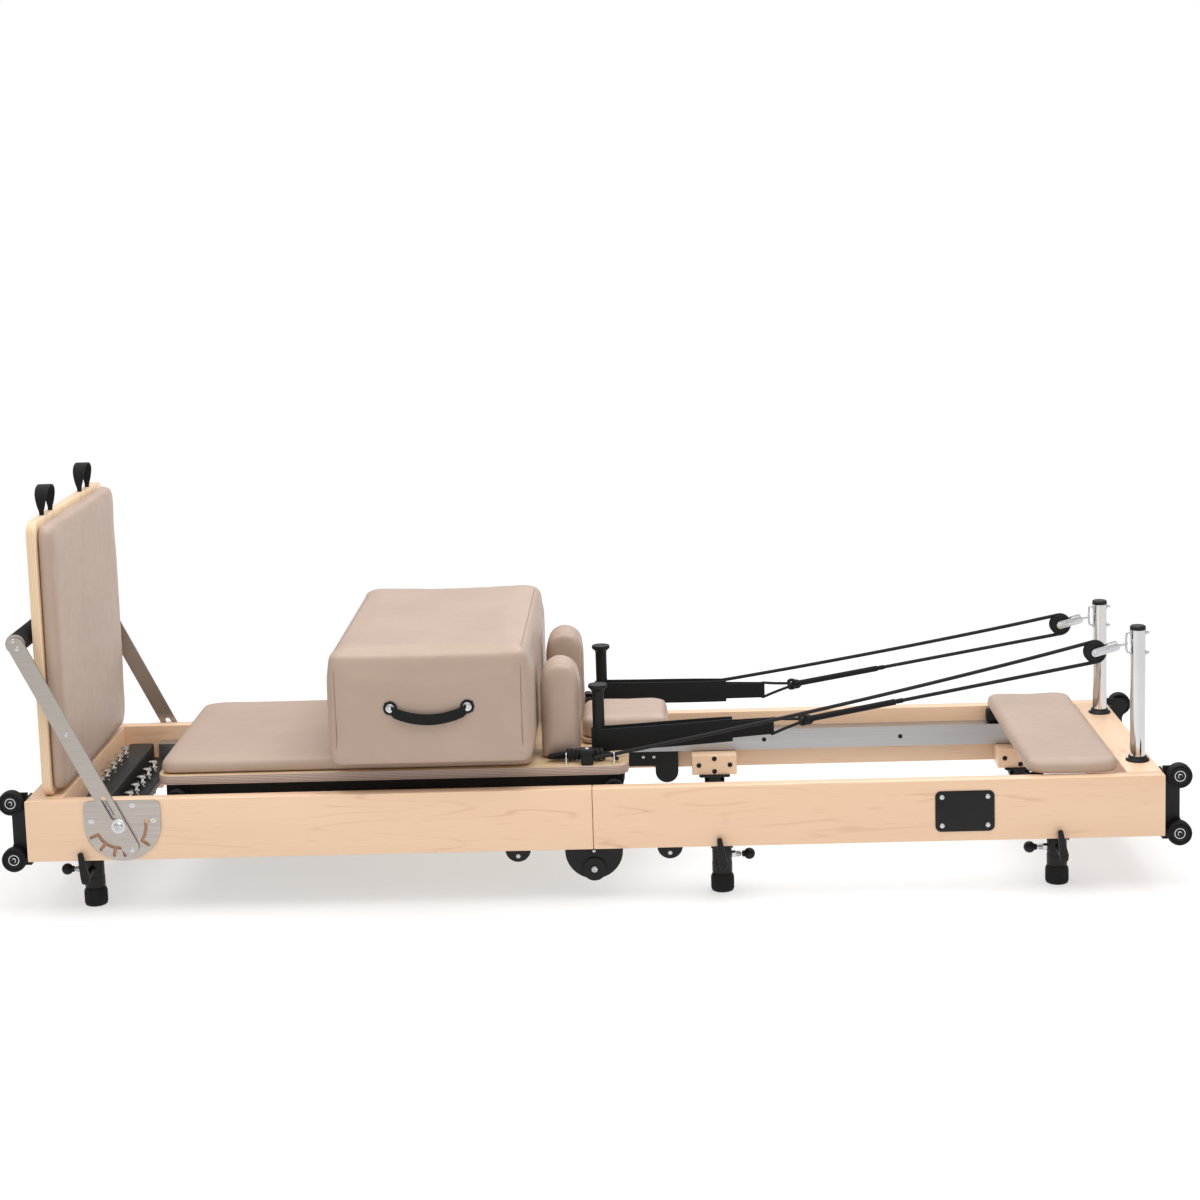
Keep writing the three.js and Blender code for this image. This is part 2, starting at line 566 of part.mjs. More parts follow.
// The rope's real route: cleat, over the sheave, and back to the end of the strap.
function ropeRoute(side) {
  const y = side.sign * POST.y;
  const z = SHEAVE.z[side.name];
  const r = SHEAVE.groove + ROPE.radius + 0.6;
  const points = [new THREE.Vector3(ROPE.cleatX, side.sign * ROPE.cleatY, ROPE.cleatZ)];
  for (let t = 0.1; t < 0.95; t += 0.1) {
    const x = ROPE.cleatX + t * (SHEAVE.x - ROPE.cleatX);
    const sag = -36 * t * (1 - t);
    const h = ROPE.cleatZ + t * (z + r - ROPE.cleatZ) + sag;
    points.push(new THREE.Vector3(x, side.sign * (ROPE.cleatY + t * (POST.y - ROPE.cleatY)), h));
  }
  for (let a = 100; a >= -80; a -= 15) {
    points.push(new THREE.Vector3(SHEAVE.x + r * Math.cos(rad(a)), y, z + r * Math.sin(rad(a))));
  }
  const end = { x: STRAP.end - 6, z: STRAP_Z[side.name].end };
  const last = points[points.length - 1];
  for (let t = 0.125; t <= 1.001; t += 0.125) {
    const peg = PEG.y + (1 - t) * (POST.y - PEG.y);
    points.push(new THREE.Vector3(last.x + t * (end.x - last.x), side.sign * peg, last.z + t * (end.z - last.z)));
  }
  return new Route(points, false, 'centripetal');
}

function ropeTube(side) {
  const section = new THREE.Shape();
  for (let i = 0; i < 8; i += 1) {
    const a = (i / 8) * 2 * Math.PI;
    const point = [ROPE.radius * Math.cos(a), ROPE.radius * Math.sin(a)];
    if (i === 0) section.moveTo(...point);
    else section.lineTo(...point);
  }
  return new THREE.ExtrudeGeometry(section, { steps: 56, extrudePath: ropeRoute(side) });
}

// The padded strap: a flat loop around the peg, closed where the rope is tied to it.
function strapLoop(side) {
  const inner = PEG.radius + STRAP.gap;
  const outerR = inner + STRAP.thick;
  const outline = (r, end) => {
    const s = new THREE.Shape();
    s.absarc(0, 0, r, Math.PI / 2, 1.5 * Math.PI);
    s.lineTo(end - 40, -r);
    s.lineTo(end, -STRAP.thick - (r - inner) * 0.2);
    s.lineTo(end, STRAP.thick + (r - inner) * 0.2);
    s.lineTo(end - 40, r);
    return s;
  };
  const options = { depth: STRAP.height, bevelEnabled: false, curveSegments: 7 };
  const length = STRAP.end - PEG.x;
  const loop = cut(solid(new THREE.ExtrudeGeometry(outline(outerR, length), options)),
    new THREE.ExtrudeGeometry(outline(inner, length - 14), { ...options, depth: STRAP.height + 4 }).translate(0, 0, -2));
  const z = STRAP_Z[side.name];
  const slope = (Math.atan2(z.end - z.peg, length) * 180) / Math.PI;
  return loop.translate([0, 0, -STRAP.height / 2]).rotate([0, -slope, 0]).translate([PEG.x, side.sign * PEG.y, z.peg]);
}

function rope(side) {
  const knot = new THREE.SphereGeometry(9, 10, 6);
  const t = 70 / (SHEAVE.x - STRAP.end);
  const z = STRAP_Z[side.name].end;
  const tail = SHEAVE.z[side.name] - SHEAVE.groove - ROPE.radius;
  knot.translate(STRAP.end + 70, side.sign * (PEG.y + t * (POST.y - PEG.y)), z + t * (tail - z));
  add(`rope_${side.name}`, solid(ropeTube(side)).add(strapLoop(side)).add(solid(knot)), WEBBING);
}

for (const { name, sign } of SIDES) {
  rail(`rail_${name}_left`, sign, -HALF_LENGTH, -SEAM_GAP, [LEG_X.left]);
  rail(`rail_${name}_right`, sign, SEAM_GAP, HALF_LENGTH, [LEG_X.mid, LEG_X.right]);
  track(`track_${name}_left`, sign, TRACK.leftStart, -SEAM_GAP);
  track(`track_${name}_right`, sign, SEAM_GAP, TRACK.rightEnd);
  footbarPlate(`footbar_plate_${name}`, sign);
  leftLeaf(`hinge_leaf_${name}_left`, sign);
  rightLeaf(`hinge_leaf_${name}_right`, sign);
  for (const [place, x] of Object.entries(LEG_X)) {
    socket(`leg_socket_${name}_${place}`, sign, x, place === 'mid' ? 1 : -1);
    foot(`foot_${name}_${place}`, sign, x);
  }
  for (const [end, direction] of [['left', -1], ['right', 1]]) {
    wheelBracket(`wheel_bracket_${name}_${end}`, sign, direction);
    endWheel(`end_wheel_${name}_${end}_upper`, sign, direction, WHEEL.upper);
    endWheel(`end_wheel_${name}_${end}_lower`, sign, direction, WHEEL.lower);
  }
  shoulderRest(`shoulder_rest_${name}`, sign);
}
for (const side of SIDES) {
  post(`post_${side.name}`, side);
  sheave(`sheave_${side.name}`, side);
  pulleyBlock(`pulley_block_${side.name}`, side);
  rope(side);
}
endBeam('end_beam_left', -HALF_LENGTH, -BEAM_INNER);
endBeam('end_beam_right', BEAM_INNER, HALF_LENGTH);
springBar();
footbar();
jumpboard();
platform();
deck();
chassis();
carriagePad();
headrest();
sittingBox();

export default group;
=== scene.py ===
"""Looks for a folding pilates reformer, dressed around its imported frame.

Lengths are in metres, in the frame's own axes: +X runs from the footbar end to the pulley end, -Y is the
front side and +Z is up.
"""

import logging
import math
from collections.abc import Iterable, Sequence
from dataclasses import dataclass
from enum import Enum

import bmesh
import bpy
from mathutils import Matrix, Vector
from mathutils.bvhtree import BVHTree


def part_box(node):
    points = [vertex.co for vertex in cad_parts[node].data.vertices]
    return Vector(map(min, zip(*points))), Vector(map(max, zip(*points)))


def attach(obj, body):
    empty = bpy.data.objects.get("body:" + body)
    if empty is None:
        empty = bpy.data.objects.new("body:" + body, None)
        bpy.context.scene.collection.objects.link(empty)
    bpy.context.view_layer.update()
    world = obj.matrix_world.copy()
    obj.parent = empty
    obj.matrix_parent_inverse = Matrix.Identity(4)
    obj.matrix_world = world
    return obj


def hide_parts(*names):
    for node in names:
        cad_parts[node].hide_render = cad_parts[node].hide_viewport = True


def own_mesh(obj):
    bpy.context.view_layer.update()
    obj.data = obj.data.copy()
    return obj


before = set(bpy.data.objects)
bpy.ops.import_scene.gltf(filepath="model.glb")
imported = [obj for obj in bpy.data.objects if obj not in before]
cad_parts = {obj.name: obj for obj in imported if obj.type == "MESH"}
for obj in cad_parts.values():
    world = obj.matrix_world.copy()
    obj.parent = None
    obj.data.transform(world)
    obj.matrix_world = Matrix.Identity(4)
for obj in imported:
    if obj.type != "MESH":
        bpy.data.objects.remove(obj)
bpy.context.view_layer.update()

LOG = logging.getLogger("reformer")
Point = Sequence[float]
Colour = tuple[float, float, float]
Socket = bpy.types.NodeSocket

UP = Vector((0, 0, 1))
RAIL_FACE = 0.325
DECK_TOP = 0.281
PEG = (0.015, 0.190)
POST_Y = 0.205
SHEAVE_X = 1.066
HALVES = ("left", "right")
SWELL_FRAMES = 20


class Side(Enum):
    """The two long sides of the machine, with the sign of their Y."""

    FRONT = -1
    BACK = 1

    @property
    def label(self) -> str:
        """The side's name as the frame's nodes spell it."""
        return self.name.lower()

    @property
    def sheave_z(self) -> float:
        """The height of the side's sheave."""
        return 0.486 if self is Side.FRONT else 0.458


class Axis(Enum):
    """A frame axis, by its index in a point."""

    X = 0
    Y = 1
    Z = 2

    @property
    def vector(self) -> Vector:
        """The unit vector along the axis."""
        return Vector([1.0 if i == self.value else 0.0 for i in range(3)])


@dataclass(frozen=True)
class Leg:
    """Where a pair of legs stands: its place, its half of the frame, its X, and which way the knob points."""

    place: str
    half: str
    x: float
    knob: int


LEGS = (Leg("left", "left", -1.069, -1), Leg("mid", "right", 0.270, 1), Leg("right", "right", 0.978, -1))


def srgb(red: int, green: int, blue: int) -> Colour:
    """Turns a display colour into scene values.

    Args:
        red: Red, 0 to 255.
        green: Green, 0 to 255.
        blue: Blue, 0 to 255.

    Returns:
        The colour in linear light.
    """
    return tuple(
        ((c / 255 + 0.055) / 1.055) ** 2.4 if c > 10 else c / 255 / 12.92 for c in (red, green, blue))


# ---------------------------------------------------------------- finishes


class Graph:
    """A material's node tree, built one node at a time."""

    def __init__(self, name: str) -> None:
        """Starts a material with one Principled shader.

        Args:
            name: The material's name.
        """
        self.material = bpy.data.materials.new(name)
        self.material.use_nodes = True
        self.nodes = self.material.node_tree.nodes
        self.links = self.material.node_tree.links
        self.nodes.clear()
        output = self.nodes.new("ShaderNodeOutputMaterial")
        self.shader = self.nodes.new("ShaderNodeBsdfPrincipled")
        self.links.new(self.shader.outputs[0], output.inputs[0])

    def node(self, kind: str, inputs: dict | None = None, **settings: object) -> bpy.types.Node:
        """Adds a node.

        Args:
            kind: The node's type name after "ShaderNode".
            inputs: Values or sockets for its inputs, by name or index.
            **settings: Attributes of the node itself.

        Returns:
            The new node.
        """
        made = self.nodes.new("ShaderNode" + kind)
        for key, value in settings.items():
            setattr(made, key, value)
        for key, value in (inputs or {}).items():
            self.feed(made.inputs[key], value)
        return made

    def feed(self, socket: Socket, value: object) -> None:
        """Links a socket to another, or sets its value.

        Args:
            socket: The input socket.
            value: A socket, a number, or a tuple.
        """
        if isinstance(value, Socket):
            self.links.new(value, socket)
        elif isinstance(value, tuple) and len(value) == 3 and socket.type == "RGBA":
            socket.default_value = (*value, 1.0)
        else:
            socket.default_value = value

    def surface(self, **values: object) -> None:
        """Feeds the Principled shader, with underscores for the spaces in its input names."""
        for key, value in values.items():
            self.feed(self.shader.inputs[key.replace("_", " ")], value)

    def place(self, scale: Point = (1, 1, 1), turn: Point = (0, 0, 0), source: str = "Object") -> Socket:
        """Coordinates, scaled and turned.

        Args:
            scale: Scale on each axis.
            turn: Turn in radians on each axis.
            source: The output of the coordinate node.

        Returns:
            The vector socket.
        """
        coords = self.node("TexCoord")
        mapping = self.node("Mapping", {"Vector": coords.outputs[source]})
        mapping.inputs["Scale"].default_value = scale
        mapping.inputs["Rotation"].default_value = turn
        return mapping.outputs[0]

    def noise(self, vector: object, scale: float, detail: float = 4.0, rough: float = 0.5) -> Socket:
        """A noise texture's value at the vector."""
        inputs = {"Vector": vector, "Scale": scale, "Detail": detail, "Roughness": rough}
        return self.node("TexNoise", inputs).outputs[0]

    def cells(self, vector: object, scale: float, feature: str = "F1") -> Socket:
        """A Voronoi texture's distance at the vector."""
        return self.node("TexVoronoi", {"Vector": vector, "Scale": scale},
                         feature=feature).outputs["Distance"]

    def math(self, operation: str, first: object, second: object = 0.0) -> Socket:
        """The value of a Math node that does the operation."""
        return self.node("Math", {0: first, 1: second}, operation=operation).outputs[0]

    def spread(self, value: object, low: float, high: float, to_low: float, to_high: float) -> Socket:
        """A value moved from one range to another."""
        return self.node("MapRange", {0: value, 1: low, 2: high, 3: to_low, 4: to_high}).outputs[0]

    def ramp(self, value: object, stops: Sequence[tuple[float, Colour]]) -> Socket:
        """A colour ramp.

        Args:
            value: The factor.
            stops: Position and colour pairs, in order.

        Returns:
            The colour socket.
        """
        made = self.node("ValToRGB", {0: value})
        band = made.color_ramp
        band.interpolation = "LINEAR"
        for i, (position, colour) in enumerate(stops):
            stop = band.elements[i] if i < 2 else band.elements.new(position)
            stop.position = position
            stop.color = (*colour, 1.0)
        return made.outputs[0]

    def blend(self, factor: object, first: object, second: object, kind: str = "MIX") -> Socket:
        """Two colours, mixed by the factor.

        Args:
            factor: How much of the second colour shows.
            first: The first colour.
            second: The second colour.
            kind: How they mix.

        Returns:
            The colour socket.
        """
        made = self.node("Mix", data_type="RGBA", blend_type=kind)
        self.feed(made.inputs[0], factor)
        self.feed(made.inputs[6], first)
        self.feed(made.inputs[7], second)
        return made.outputs[2]

    def relief(self, height: object, depth: float, strength: float = 1.0) -> None:
        """Feeds the shader's normal with a bump of that depth in metres."""
        bump = self.node("Bump", {"Height": height, "Strength": strength, "Distance": depth})
        self.feed(self.shader.inputs["Normal"], bump.outputs[0])


@dataclass(frozen=True)
class Maple:
    """Lacquered solid maple, with its grain along one axis."""

    name: str
    along: Axis
    light: Colour = srgb(238, 205, 173)
    warm: Colour = srgb(231, 194, 160)
    line: Colour = srgb(208, 158, 126)

    def make(self) -> bpy.types.Material:
        """Builds the material.

        Returns:
            The material.
        """
        g = Graph(self.name)
        stretch = [1.0 if axis is self.along else 11.0 for axis in Axis]
        board = g.place(scale=stretch)
        figure = g.noise(board, 1.1, detail=3.0, rough=0.45)
        rings = g.math("PINGPONG", g.math("MULTIPLY", figure, 11.0), 0.5)
        lines = g.spread(rings, 0.0, 0.12, 1.0, 0.0)
        patchy = g.spread(g.noise(board, 3.3, detail=2.0), 0.46, 0.68, 0.0, 0.62)
        fine = g.place(scale=[3.0 if axis is self.along else 260.0 for axis in Axis])
        fibre = g.noise(fine, 2.6, detail=4.0, rough=0.6)
        fleck_at = g.place(scale=[16.0 if axis is self.along else 330.0 for axis in Axis])
        fleck = g.spread(g.noise(fleck_at, 1.0, detail=1.0), 0.68, 0.78, 0.0, 0.4)
        tone = g.ramp(g.noise(board, 0.7, detail=2.0), [(0.3, self.light), (0.7, self.warm)])
        tone = g.blend(g.spread(fibre, 0.35, 0.7, 0.0, 0.35), tone, self.warm)
        tone = g.blend(g.math("MULTIPLY", lines, patchy), tone, self.line)
        tone = g.blend(fleck, tone, self.line)
        g.surface(Base_Color=tone, Roughness=g.spread(fibre, 0.2, 0.8, 0.34, 0.46))
        g.surface(Coat_Weight=0.25, Coat_Roughness=0.22)
        g.relief(fibre, 0.00012, 0.5)
        return g.material


@dataclass(frozen=True)
class Plywood:
    """Birch plywood: a veneer on its faces, and layers on its edges."""

    name: str
    thick: Axis
    start: float
    layer: float = 0.0034
    veneer: Colour = srgb(226, 198, 158)
    veneer_line: Colour = srgb(206, 172, 128)
    pale: Colour = srgb(208, 186, 174)
    dark: Colour = srgb(124, 100, 92)

    def make(self) -> bpy.types.Material:
        """Builds the material.

        Returns:
            The material.
        """
        g = Graph(self.name)
        coords = g.node("TexCoord")
        split = g.node("SeparateXYZ", {0: coords.outputs["Object"]})
        depth = g.math("SUBTRACT", split.outputs[self.thick.value], self.start)
        wobble = g.math("MULTIPLY", g.noise(g.place(scale=(9, 9, 9)), 1.0, detail=2.0), 0.0007)
        ply = g.math("PINGPONG", g.math("DIVIDE", g.math("ADD", depth, wobble), self.layer), 1.0)
        edge = g.ramp(ply, [(0.0, self.dark), (0.42, self.pale), (0.58, self.pale), (1.0, self.dark)])
        normal = g.node("SeparateXYZ", {0: coords.outputs["Normal"]})
        on_face = g.spread(g.math("ABSOLUTE", normal.outputs[self.thick.value]), 0.6, 0.8, 0.0, 1.0)
        stretch = [1.6, 11.0, 0.8] if self.thick is Axis.X else [0.8, 11.0, 1.6]
        grain = g.noise(g.place(scale=stretch), 2.4, detail=5.0, rough=0.6)
        rings = g.math("PINGPONG", g.math("MULTIPLY", grain, 6.0), 0.5)
        face = g.ramp(rings, [(0.0, self.veneer_line), (0.25, self.veneer), (0.5, self.veneer)])
        g.surface(Base_Color=g.blend(on_face, edge, face), Roughness=0.42, Coat_Weight=0.15,
                  Coat_Roughness=0.25)
        g.relief(g.blend(on_face, edge, grain), 0.0002, 0.4)
        return g.material


@dataclass(frozen=True)
class Leather:
    """Soft artificial leather with a fine pebbled grain."""

    name: str = "taupe_leather"
    base: Colour = srgb(180, 157, 141)
    worn: Colour = srgb(173, 150, 134)

    def make(self) -> bpy.types.Material:
        """Builds the material.

        Returns:
            The material.
        """
        g = Graph(self.name)
        at = g.place()
        pebble = g.cells(at, 780.0, "SMOOTH_F1")
        creases = g.cells(at, 420.0, "DISTANCE_TO_EDGE")
        broad = g.noise(at, 7.0, detail=3.0)
        tone = g.ramp(broad, [(0.3, self.base), (0.72, self.worn)])
        # painted shade: the grain's creases are darkened towards a deeper taupe
        crease_shade = g.spread(creases, 0.0, 0.12, 0.16, 0.0)
        g.surface(Base_Color=g.blend(crease_shade, tone, srgb(148, 126, 112)))
        g.surface(Roughness=g.spread(g.noise(at, 40.0), 0.3, 0.7, 0.38, 0.50))
        g.surface(Specular_IOR_Level=0.5, Sheen_Weight=0.06, Sheen_Roughness=0.5)
        height = g.math("ADD", g.math("MULTIPLY", pebble, -0.5), g.spread(creases, 0.0, 0.2, 0.0, 0.6))
        g.relief(height, 0.00022, 0.42)
        return g.material


@dataclass(frozen=True)
class Metal:
    """A bare metal, polished or brushed along one direction."""

    name: str
    tint: Colour
    rough: float
    brushed: tuple[float, float, float] | None = None
    turn: float = 0.0
    smudge: float = 0.06

    def make(self) -> bpy.types.Material:
        """Builds the material.

        Returns:
            The material.
        """
        g = Graph(self.name)
        cloud = g.noise(g.place(), 22.0, detail=3.0)
        rough = g.spread(cloud, 0.3, 0.7, max(self.rough - self.smudge / 2, 0.02), self.rough + self.smudge)
        tone: object = g.blend(g.spread(cloud, 0.3, 0.7, 0.0, 0.12), self.tint,
                               tuple(c * 0.72 for c in self.tint))
        if self.brushed:
            lines = g.noise(g.place(scale=self.brushed, turn=(0, self.turn, 0)), 1.0, detail=3.0, rough=0.65)
            tone = g.blend(g.spread(lines, 0.3, 0.7, 0.0, 0.42), self.tint, tuple(c * 0.6 for c in self.tint))
            rough = g.spread(lines, 0.3, 0.7, self.rough - 0.06, self.rough + 0.12)
            g.relief(lines, 0.00006, 0.5)
        g.surface(Base_Color=tone, Metallic=1.0, Roughness=rough)
        return g.material


@dataclass(frozen=True)
class Coating:
    """A dark coat: powder paint, moulded plastic, rubber or foam, told apart by grain and gloss."""

    name: str
    tint: Colour
    rough: float
    grain: float
    depth: float
    rubbed: float = 0.25

    def make(self) -> bpy.types.Material:
        """Builds the material.

        Returns:
            The material.
        """
        g = Graph(self.name)
        at = g.place()
        speck = g.noise(at, self.grain, detail=2.0, rough=0.7)
        cloud = g.noise(at, 18.0, detail=3.0)
        lighter = tuple(min(c * 2.2 + 0.01, 1.0) for c in self.tint)
        g.surface(Base_Color=g.blend(g.spread(cloud, 0.4, 0.75, 0.0, self.rubbed), self.tint, lighter))
        g.surface(Roughness=g.spread(speck, 0.3, 0.7, self.rough - 0.06, self.rough + 0.1))
        g.surface(Specular_IOR_Level=0.28)
        g.relief(speck, self.depth, 0.6)
        return g.material


@dataclass(frozen=True)
class Webbing:
    """Black woven webbing: ribs along the strap, crossed by picks."""

    name: str = "black_webbing"
    tint: Colour = srgb(14, 14, 15)
    thread: Colour = srgb(34, 34, 35)

    def make(self) -> bpy.types.Material:
        """Builds the material.

        Returns:
            The material.
        """
        g = Graph(self.name)
        split = g.node("SeparateXYZ", {0: g.place()})
        ribs = g.math("PINGPONG", g.math("MULTIPLY", split.outputs[2], 520.0), 0.5)
        picks = g.math("PINGPONG", g.math("MULTIPLY", split.outputs[0], 640.0), 0.5)
        woven = g.math("MULTIPLY", ribs, picks)
        g.surface(Base_Color=g.blend(g.spread(woven, 0.0, 0.25, 0.0, 1.0), self.tint, self.thread))
        g.surface(Roughness=0.8, Specular_IOR_Level=0.25, Sheen_Weight=0.05, Sheen_Roughness=0.5)
        g.relief(woven, 0.0006, 0.6)
        return g.material


@dataclass(frozen=True)
class Braid:
    """Black braided cord, its strands crossing along the cord's own map."""

    name: str
    strands: float
    tint: Colour = srgb(13, 13, 14)
    thread: Colour = srgb(40, 40, 42)

    def make(self) -> bpy.types.Material:
        """Builds the material.

        Returns:
            The material.
        """
        g = Graph(self.name)
        split = g.node("SeparateXYZ", {0: g.place(source="UV")})
        along = g.math("MULTIPLY", split.outputs[0], self.strands)
        around = g.math("MULTIPLY", split.outputs[1], 4.0)
        first = g.math("PINGPONG", g.math("ADD", along, around), 0.5)
        second = g.math("PINGPONG", g.math("SUBTRACT", along, around), 0.5)
        woven = g.math("MAXIMUM", first, second)
        g.surface(Base_Color=g.blend(g.spread(woven, 0.2, 0.5, 0.0, 1.0), self.tint, self.thread))
        g.surface(Roughness=0.72, Specular_IOR_Level=0.28, Sheen_Weight=0.05, Sheen_Roughness=0.5)
        g.relief(woven, 0.0008, 0.7)
        return g.material


class Palette:
    """Every finish of the machine, made once and shared by its pieces."""

    def __init__(self) -> None:
        """Builds the materials."""
        steel = srgb(188, 180, 173)
        self.maple_long = Maple("maple_long_grain", Axis.X).make()
        self.maple_cross = Maple("maple_cross_grain", Axis.Y).make()
        # painted shade: a darker maple for the sheet that shows through the index plates' slots
        self.slot_wood = Maple("maple_in_slots", Axis.X, light=srgb(186, 140, 100), warm=srgb(170, 122, 84),
                               line=srgb(140, 96, 64)).make()
        self.ply_deck = Plywood("plywood_deck", Axis.Z, 0.261).make()
        self.ply_board = Plywood("plywood_board", Axis.X, -1.157, layer=0.0032, veneer=srgb(240, 214, 180),
                                 veneer_line=srgb(226, 194, 156), pale=srgb(242, 216, 182),
                                 dark=srgb(208, 170, 132)).make()
        self.leather = Leather().make()
        self.seam = Leather("leather_seam", base=srgb(150, 128, 114), worn=srgb(140, 119, 105)).make()
        self.chrome = Metal("polished_chrome", srgb(214, 212, 210), 0.10).make()
        self.zinc = Metal("bright_zinc", srgb(206, 206, 208), 0.24).make()
        self.aluminium = Metal("satin_aluminium", srgb(190, 190, 191), 0.36,
                               brushed=(2.0, 900.0, 900.0)).make()
        self.plate_steel = Metal("brushed_plate_steel", steel, 0.32, brushed=(8.0, 500.0, 620.0)).make()
        self.arm_steel = Metal("brushed_arm_steel", steel, 0.34, brushed=(12.0, 500.0, 700.0),
                               turn=math.radians(116.2)).make()
        self.powder = Coating("black_powder_coat", srgb(17, 17, 18), 0.42, 900.0, 0.0003).make()
        self.plastic = Coating("black_moulded_plastic", srgb(16, 16, 17), 0.46, 500.0, 0.0002).make()
        self.rubber = Coating("black_rubber", srgb(15, 15, 16), 0.62, 700.0, 0.0003).make()
        self.foam = Coating("black_grip_foam", srgb(17, 17, 18), 0.85, 380.0, 0.0009, rubbed=0.5).make()
        self.webbing = Webbing().make()
        self.rope = Braid("braided_rope", 210.0).make()
        self.short_braid = Braid("braided_short_cord", 30.0).make()


# ---------------------------------------------------------------- shapes


def smooth_path(points: Sequence[Point], steps: int = 6) -> list[Vector]:
    """A Catmull-Rom path through the points.

    Args:
        points: The points that the path passes through.
        steps: Steps between two points.

    Returns:
        The path's points.
    """
    p = [Vector(q) for q in points]
    p = [2 * p[0] - p[1], *p, 2 * p[-1] - p[-2]]
    path = []
    for a, b, c, d in zip(p, p[1:], p[2:], p[3:]):
        for i in range(steps):
            t = i / steps
            path.append(0.5 * (2 * b + (c - a) * t + (2 * a - 5 * b + 4 * c - d) * t**2
                               + (3 * b - a - 3 * c + d) * t**3))
    return [*path, p[-2]]


def soften(part: bmesh.types.BMesh, edges: Sequence[bmesh.types.BMEdge], radius: float,
           segments: int) -> None:
    """Rounds the edges of a shape.

    Args:
        part: The shape.
        edges: The edges to round.
        radius: The rounding's radius.
        segments: Steps in the rounding.
    """
    bmesh.ops.bevel(part, geom=edges, offset=radius, segments=segments, profile=0.5, affect="EDGES",
                    material=-1)


def moved_by(part: bmesh.types.BMesh, grown: dict, way: Point) -> None:
    """Moves the new vertices that an extrusion gave."""
    verts = [v for v in grown["geom"] if isinstance(v, bmesh.types.BMVert)]
    bmesh.ops.translate(part, vec=way, verts=verts)


class Piece:
    """One visible piece, kept as a bmesh until it is dressed and rides on its body."""

    def __init__(self, name: str) -> None:
        """Starts an empty piece.

        Args:
            name: The piece's name.
        """
        self.name = name
        self.bm = bmesh.new()

    def absorb(self, part: bmesh.types.BMesh, place: Matrix | None = None) -> "Piece":
        """Adds a finished shape to the piece.

        Args:
            part: The shape, which is used up.
            place: A transform for it.

        Returns:
            The piece.
        """
        if place is not None:
            bmesh.ops.transform(part, matrix=place, verts=part.verts)
        bmesh.ops.recalc_face_normals(part, faces=part.faces)
        mesh = bpy.data.meshes.new("scrap")
        part.to_mesh(mesh)
        part.free()
        self.bm.from_mesh(mesh)
        bpy.data.meshes.remove(mesh)
        return self

    def slab(self, low: Point, high: Point, edge: float = 0.0, corner: float = 0.0, thick: Axis = Axis.Z,
             segments: int = 3, place: Matrix | None = None, top_only: bool = False) -> "Piece":
        """Adds a block with rounded corners and softened edges.

        Args:
            low: Its lowest corner.
            high: Its highest corner.
            edge: Radius of the edges round its two faces, or of all edges if there is no corner.
            corner: Radius of the corners between those faces.
            thick: The axis between the two faces.
            segments: Steps in each rounding.
            place: A transform for it.
            top_only: Whether only the upper of the two faces has softened edges.

        Returns:
            The piece.
        """
        lo, hi = Vector(low), Vector(high)
        part = bmesh.new()
        size = Matrix.Diagonal((*(hi - lo), 1.0))
        bmesh.ops.create_cube(part, size=1.0, matrix=Matrix.Translation((lo + hi) / 2) @ size)
        axis = thick.value
        if corner:
            upright = [e for e in part.edges if abs((e.verts[0].co - e.verts[1].co).normalized()[axis]) > 0.9]
            soften(part, upright, corner, max(segments, 6))
        if edge:
            ends = (hi[axis],) if top_only else (lo[axis], hi[axis])
            rim = [e for e in part.edges if not corner or any(
                all(abs(v.co[axis] - limit) < 1e-6 for v in e.verts) for limit in ends)]
            soften(part, rim, edge, segments)
        return self.absorb(part, place)

    def turned(self, profile: Sequence[tuple[float, float]], centre: Point, axis: Vector,
               steps: int = 48) -> "Piece":
        """Adds a turned shape.

        Args:
            profile: Radius and height pairs, which start and end on the axis or close on themselves.
            centre: Where height 0 lies.
            axis: The direction of the heights.
            steps: Steps round the axis.

        Returns:
            The piece.
        """
        part = bmesh.new()
        verts = [part.verts.new((radius, 0.0, height)) for radius, height in profile]
        edges = [part.edges.new(pair) for pair in zip(verts, verts[1:])]
        bmesh.ops.spin(part, geom=verts + edges, cent=(0, 0, 0), axis=(0, 0, 1), angle=2 * math.pi,
                       steps=steps, use_merge=True)
        bmesh.ops.remove_doubles(part, verts=part.verts, dist=1e-6)
        turn = UP.rotation_difference(axis).to_matrix().to_4x4()
        return self.absorb(part, Matrix.Translation(centre) @ turn)

    def rod(self, start: Point, end: Point, radius: float, edge: float = 0.0, steps: int = 32) -> "Piece":
        """Adds a round rod between two points, with softened ends.

        Args:
            start: Its first end.
            end: Its other end.
            radius: Its radius.
            edge: Radius of its end edges.
            steps: Steps round it.

        Returns:
            The piece.
        """
        a, b = Vector(start), Vector(end)
        length, e = (b - a).length, edge
        profile = [(0, 0), (radius - e, 0), (radius, e), (radius, length - e), (radius - e, length),
                   (0, length)]
        return self.turned(profile, a, b - a, steps)

    def screw(self, centre: Point, axis: Vector, radius: float, height: float = 0.0022,
              steps: int = 20) -> "Piece":
        """Adds a domed screw head with a socket in it, standing on the centre along the axis.

        Args:
            centre: Its middle.
            axis: The direction that it faces.
            radius: Its radius.
            height: Its height.
            steps: Steps round it.

        Returns:
            The piece.
        """
        r, h = radius, height
        profile = [(0, h * 0.25), (r * 0.34, h * 0.25), (r * 0.42, h), (r * 0.7, h * 0.92),
                   (r * 0.93, h * 0.6), (r, h * 0.2), (r, -0.0004), (0, -0.0004)]
        return self.turned(profile, centre, axis, steps)

    def ball(self, centre: Point, radius: float, steps: int = 24) -> "Piece":
        """Adds a ball.

        Args:
            centre: Its middle.
            radius: Its radius.
            steps: Steps round it.

        Returns:
            The piece.
        """
        part = bmesh.new()
        bmesh.ops.create_uvsphere(part, u_segments=steps, v_segments=steps // 2, radius=radius)
        return self.absorb(part, Matrix.Translation(centre))

